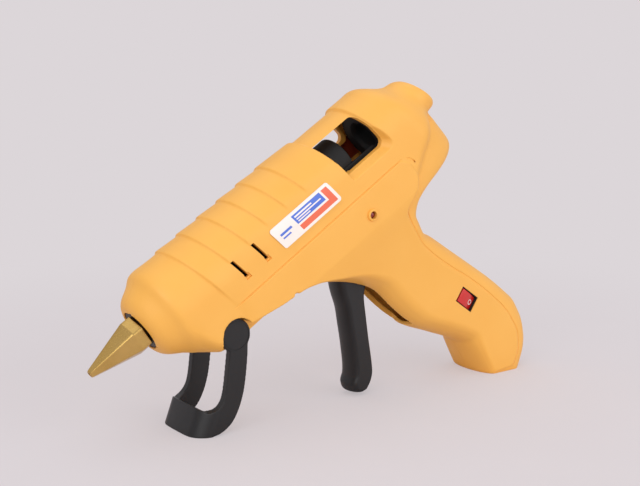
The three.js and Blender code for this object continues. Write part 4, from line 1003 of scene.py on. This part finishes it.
def makeTrigger():
    u0, v0 = triggerPivot
    drop, half, hub = trigger["drop"], trigger["half"], trigger["hub"]
    rows = [[u0 + drop * a, v0 - drop * b, u0 + drop * c, v0 - drop * d] for a, b, c, d in trigger["rows"]]
    rings = [gripRing(Vector((a, b)), Vector((c, d)), half, trigger["rounding"], trigger["back"], 14, 10)
             for a, b, c, d in denseRows(rows, 0.8)]
    made = skin(rings)
    # The forked arm above the pivot, which pushes the carriage
    arm = block(-4.3, 4.3, -half, half, 0, 24.5)
    cut(arm, block(-2.25, 2.25, -half - 4, half + 4, 19, 28.5), block(-8.6, 8.6, -3.3, 3.3, 14, 28.5))
    moved(arm, (u0, 0, v0), atan2(6, 22), "Y")
    join(made, bar(u0, v0, hub, -half, half, steps=48), arm)
    soften(made, trigger["voxel"], 3)
    cut(made, bar(u0, v0, pinBore["radius"], -half - 4, half + 4, steps=48))
    thin(made, 90000)
    setDown(made, 45, "trigger_lever", "trigger", "black_plastic", "black", "trigger")


makeTrigger()


# Feed

carriage = {
    "guide": [(165.5, 7.9, 0.3), (165.5, 13.5, 0.6), (168, 13.5, 0.4), (168, 8.8, 0), (197, 8.8, 0.4),
              (197, 7.9, 0.3), (192, 6.3, 1), (167, 6.3, 0.6)],
    "ring": [(134, 6.5, 0.8), (134, 11, 1.1), (144, 11, 1.1), (144, 6.5, 0.8)],
    "hood": [(143, 6.5, 0), (143, 11, 0), (148.6, 11, 1.1), (148.6, 6.5, 0.8)],
    "hoodEnd": (140, 152, -14, 14, -14, -5),
    # plate, cross rail, jaw seat, lug and pin for the trigger's fork, spring post and pin, side walls
    "base": [(126, 152.6, -7.5, 7.5, -12.4, -9.8, 0.4), (134, 144, -17.45, 17.45, -12.4, -9.4, 0.4),
             (145.7, 150.3, -7.5, 7.5, -13.4, -8.8, 0.4), (127, 133, -2.8, 2.8, -17.8, -11.1, 0.3),
             (130, -16, 1.8, -6.5, 6.5), (150.2, 155.9, 0.75, 3.75, -16.9, -9.8, 0.3),
             (154, -15, 1.9, -0.9, 3.75), (136, 158, 10.9, 11.9, -12.4, -3, 0.25),
             (136, 161, -11.9, -10.9, -12.4, -0.4, 0.25)],
    "bore": [(130, 0), (130, 6.5), (150, 6.5), (150, 0)],
    "jawRoom": (145.9, 150.1, -3.8, 3.8, -16.4, 0), "jawPin": (148, -11.1, 1.2, -11.5, 11.5),
}


def makeFeed():
    # Five numbers of the base are a bar, seven a block
    guide = turned(rounded(carriage["guide"], 5), 96)
    # The guide takes the darker black plastic, painted shade inside the casing
    setDown(guide, 35, "stick_guide_tube", "gun", "black_plastic", "dark", "stick_guide")
    ring = turned(rounded(carriage["ring"], 6), 96)
    pieces = [(bar if len(spot) == 5 else block)(*spot) for spot in carriage["base"]]
    hood = cut(turned(rounded(carriage["hood"], 6), 96), block(*carriage["hoodEnd"]))
    join(ring, hood, *pieces)
    cut(ring, turned(carriage["bore"], 96), block(*carriage["jawRoom"]), bar(*carriage["jawPin"]))
    # The carriage also takes the darker black plastic, painted shade
    setDown(ring, 35, "feed_carriage_ring", "carriage", "black_plastic", "dark", "feed_carriage")


makeFeed()
print("trigger and feed ready")


# Switch, lamp, label and screws

def makeSwitch():
    half, wide, face = switch["length"] / 2, switch["width"] / 2, switch["face"]
    slack, gap = switch["slack"], switch["gap"]
    outerHalf, outerWide = half + slack, wide + gap
    housing = block(-outerHalf - 1, outerHalf + 1, -outerWide - 1, outerWide + 1, face - 9, face, 0.3)
    outerHalf, outerWide = outerHalf - 0.02, outerWide - 0.02
    rim = block(-outerHalf, outerHalf, -outerWide, outerWide, face - 4, switch["rim"], 0.1)
    pocket = block(-half - 0.12, half + 0.12, -wide + 0.02, wide - 0.02, face - 3.6, face + 4)
    cut(join(housing, rim), pocket)
    # The housing takes the darker black plastic, painted shade
    setDown(atSwitch(housing), 30, "switch_housing_case", "gun", "black_plastic", "dark", "switch_housing")
    top, foot = half - slack / 2, -2 * slack
    crown = switch["depth"] + foot
    low = crown - switch["rise"]
    outline = rounded([(-half + 0.15, foot, 0), (half - 0.15, foot, 0), (half - 0.18, low, 0.25),
                       (0, crown - 0.15, 0), (-top + 0.1, low + 0.1, 0.3)], 4)
    body = eased(plate(outline, -wide + 0.3, wide - 0.3), 0.22)
    apex = Matrix.Translation((0, 0, crown - 0.15))
    fall = atan2(switch["rise"] - 0.15, top - 0.1)
    circle = turned([(-0.1, 0.95), (-0.1, 1.35), (0.05, 1.35), (0.05, 0.95)], 48)
    circle.data.transform(apex @ Matrix.Rotation(fall, 4, "Y") @ Matrix.Translation((3, 0, 0))
                          @ Matrix.Rotation(-pi / 2, 4, "Y"))
    place = Matrix.Translation((0, 0, face - 1)) @ Matrix.Rotation(radians(switch["tilt"]), 4, "Y")
    for made, *rest in ((body, 30, "rocker_body", "rocker", "red_plastic", "red", "switch_rocker"),
                        (circle, 0, "rocker_circle", "rocker", "label", "mark")):
        made.data.transform(place)
        setDown(atSwitch(made), *rest)


def makeLamp():
    lens = moved(turned(lamp["lens"], 48), (lamp["at"][0], -panelFace - 0.25, lamp["at"][1]), pi / 2)
    setDown(lens, 60, "indicator_lens_dome", "gun", "red_plastic", "lens", "indicator_lens")


label = {"start": 92.6, "length": 35.3, "top": 5.3, "foot": 6, "corner": 1.3, "reach": (20.36, 20.62),
         "inks": (("fbf3ea", "f4ece4"), ("f2714f", "ec6a49"), ("4f78dd", "4a70d2")),
         # left, right, foot and top of each printed area, as shares of the label
         "band": [(0.34, 0.955, 0.12, 0.37), (0.86, 0.955, 0.37, 0.88)], "block": [(0.34, 0.83, 0.46, 0.88)],
         "lines": [(0.37, 0.66, 0.735, 0.8), (0.37, 0.79, 0.62, 0.675), (0.37, 0.58, 0.52, 0.57)],
         "stripes": [(0.07, 0.26, 0.52, 0.62), (0.07, 0.2, 0.36, 0.43)]}


def labelFinish():
    # A white sticker with plain blocks of colour: a red orange band, a blue block and short lines
    made = Finish("printed label", Roughness=0.38, Coat_Weight=0.15)
    across, up, _ = made.axes(made.node("UVMap", {"uv_map": "label"}))

    def areas(key):
        return sum((across > left) * (across < right) * (up > foot) * (up < top)
                   for left, right, foot, top in label[key])

    wear = made.noise(3, 3)
    paper, orange, blue = (made.mix(wear, tint(colour), tint(deep)) for colour, deep in label["inks"])
    base = made.mix(areas("band"), paper, orange)
    base = made.mix(areas("block") - areas("lines"), base, blue)
    made.set(Base_Color=made.mix(areas("stripes"), base, blue), Normal=made.bump(wear, 0.1, 0.00002))
    return made.material


def makeLabel():
    # A thin sheet bent round the barrel, cut to its outline, with its own flat UV layer
    rake = shell["rake"]
    start, length, top, foot, corner = (label[key] for key in ("start", "length", "top", "foot", "corner"))
    rings = []
    for end in (start - 4, start + length + 4):
        line = []
        for reach in label["reach"]:
            arc = [(-sqrt(reach ** 2 - max(v, 0) ** 2), v) for v in (lerp(7, -7, k / 40) for k in range(41))]
            line += arc[::-1] if line else arc
        rings.append([(end - v * rake, y, v) for y, v in line])
    corners = [(start + foot * rake, -foot, corner), (start + length + foot * rake, -foot, corner),
               (start + length - top * rake, top, corner), (start - top * rake, top, corner)]
    made = common(skin(rings), plate(rounded(corners, 8), -24, -16))
    layer = made.data.uv_layers.new(name="label")
    for loop in made.data.loops:
        u, _, v = made.data.vertices[loop.vertex_index].co
        layer.data[loop.index].uv = ((u + v * rake - start) / length, (v + foot) / (top + foot))
    finishes["label"] = labelFinish()
    setDown(made, 30, "side_label_sheet", "gun", "label", "label", "side_label")


def makeScrews():
    # Pan heads with a cross recess, each turned a little further than the last
    shaft, head, (start, long, wide) = screw["shaft"], screw["head"], screw["recess"]
    for k, (u, v, seat) in enumerate(screwPlaces):
        made = turned([(-9, 0), (-9, 0.9), (-8.3, shaft), (seat, shaft), (seat, head - 0.15), (seat + 0.2, head),
                       (seat + 1.2, head), (seat + 1.7, 2.3), (seat + 2, 1.3), (seat + 2.05, 0)], 48)
        for turn in (0.3 + k, 0.3 + k + pi / 2):
            recess = block(seat + start, seat + 3, -long / 2, long / 2, -wide / 2, wide / 2)
            cut(made, moved(recess, angle=turn, axis="X"))
        moved(made, (u, 0, v), pi / 2)
        setDown(made, 35, f"screw_{k + 1}_turned", "gun", "steel", "steel", f"shell_screw_{k + 1}")


makeSwitch()
makeLamp()
makeLabel()
makeScrews()
print("switch, lamp, label and screws ready")


# Finishes of the inner CAD pieces by a word in their name, the first that fits
words = {"brass": ["terminal"], "aluminium": ["chamber"], "ceramic": ["element"], "silicone": ["silicone"],
         "cableBlue": ["neutral", "lead_2"], "cableBrown": ["live", "switched", "lead_1"],
         "steel": ["clamp", "clip", "spring", "pin", "crimp"], "brown": ["jaw"], "red": ["lamp"]}
for name, node in frame["nodes"].items():
    key = next((finish for finish, parts in words.items() if any(part in name for part in parts)), "black")
    node.data.materials.clear()
    node.data.materials.append(finishes[key])
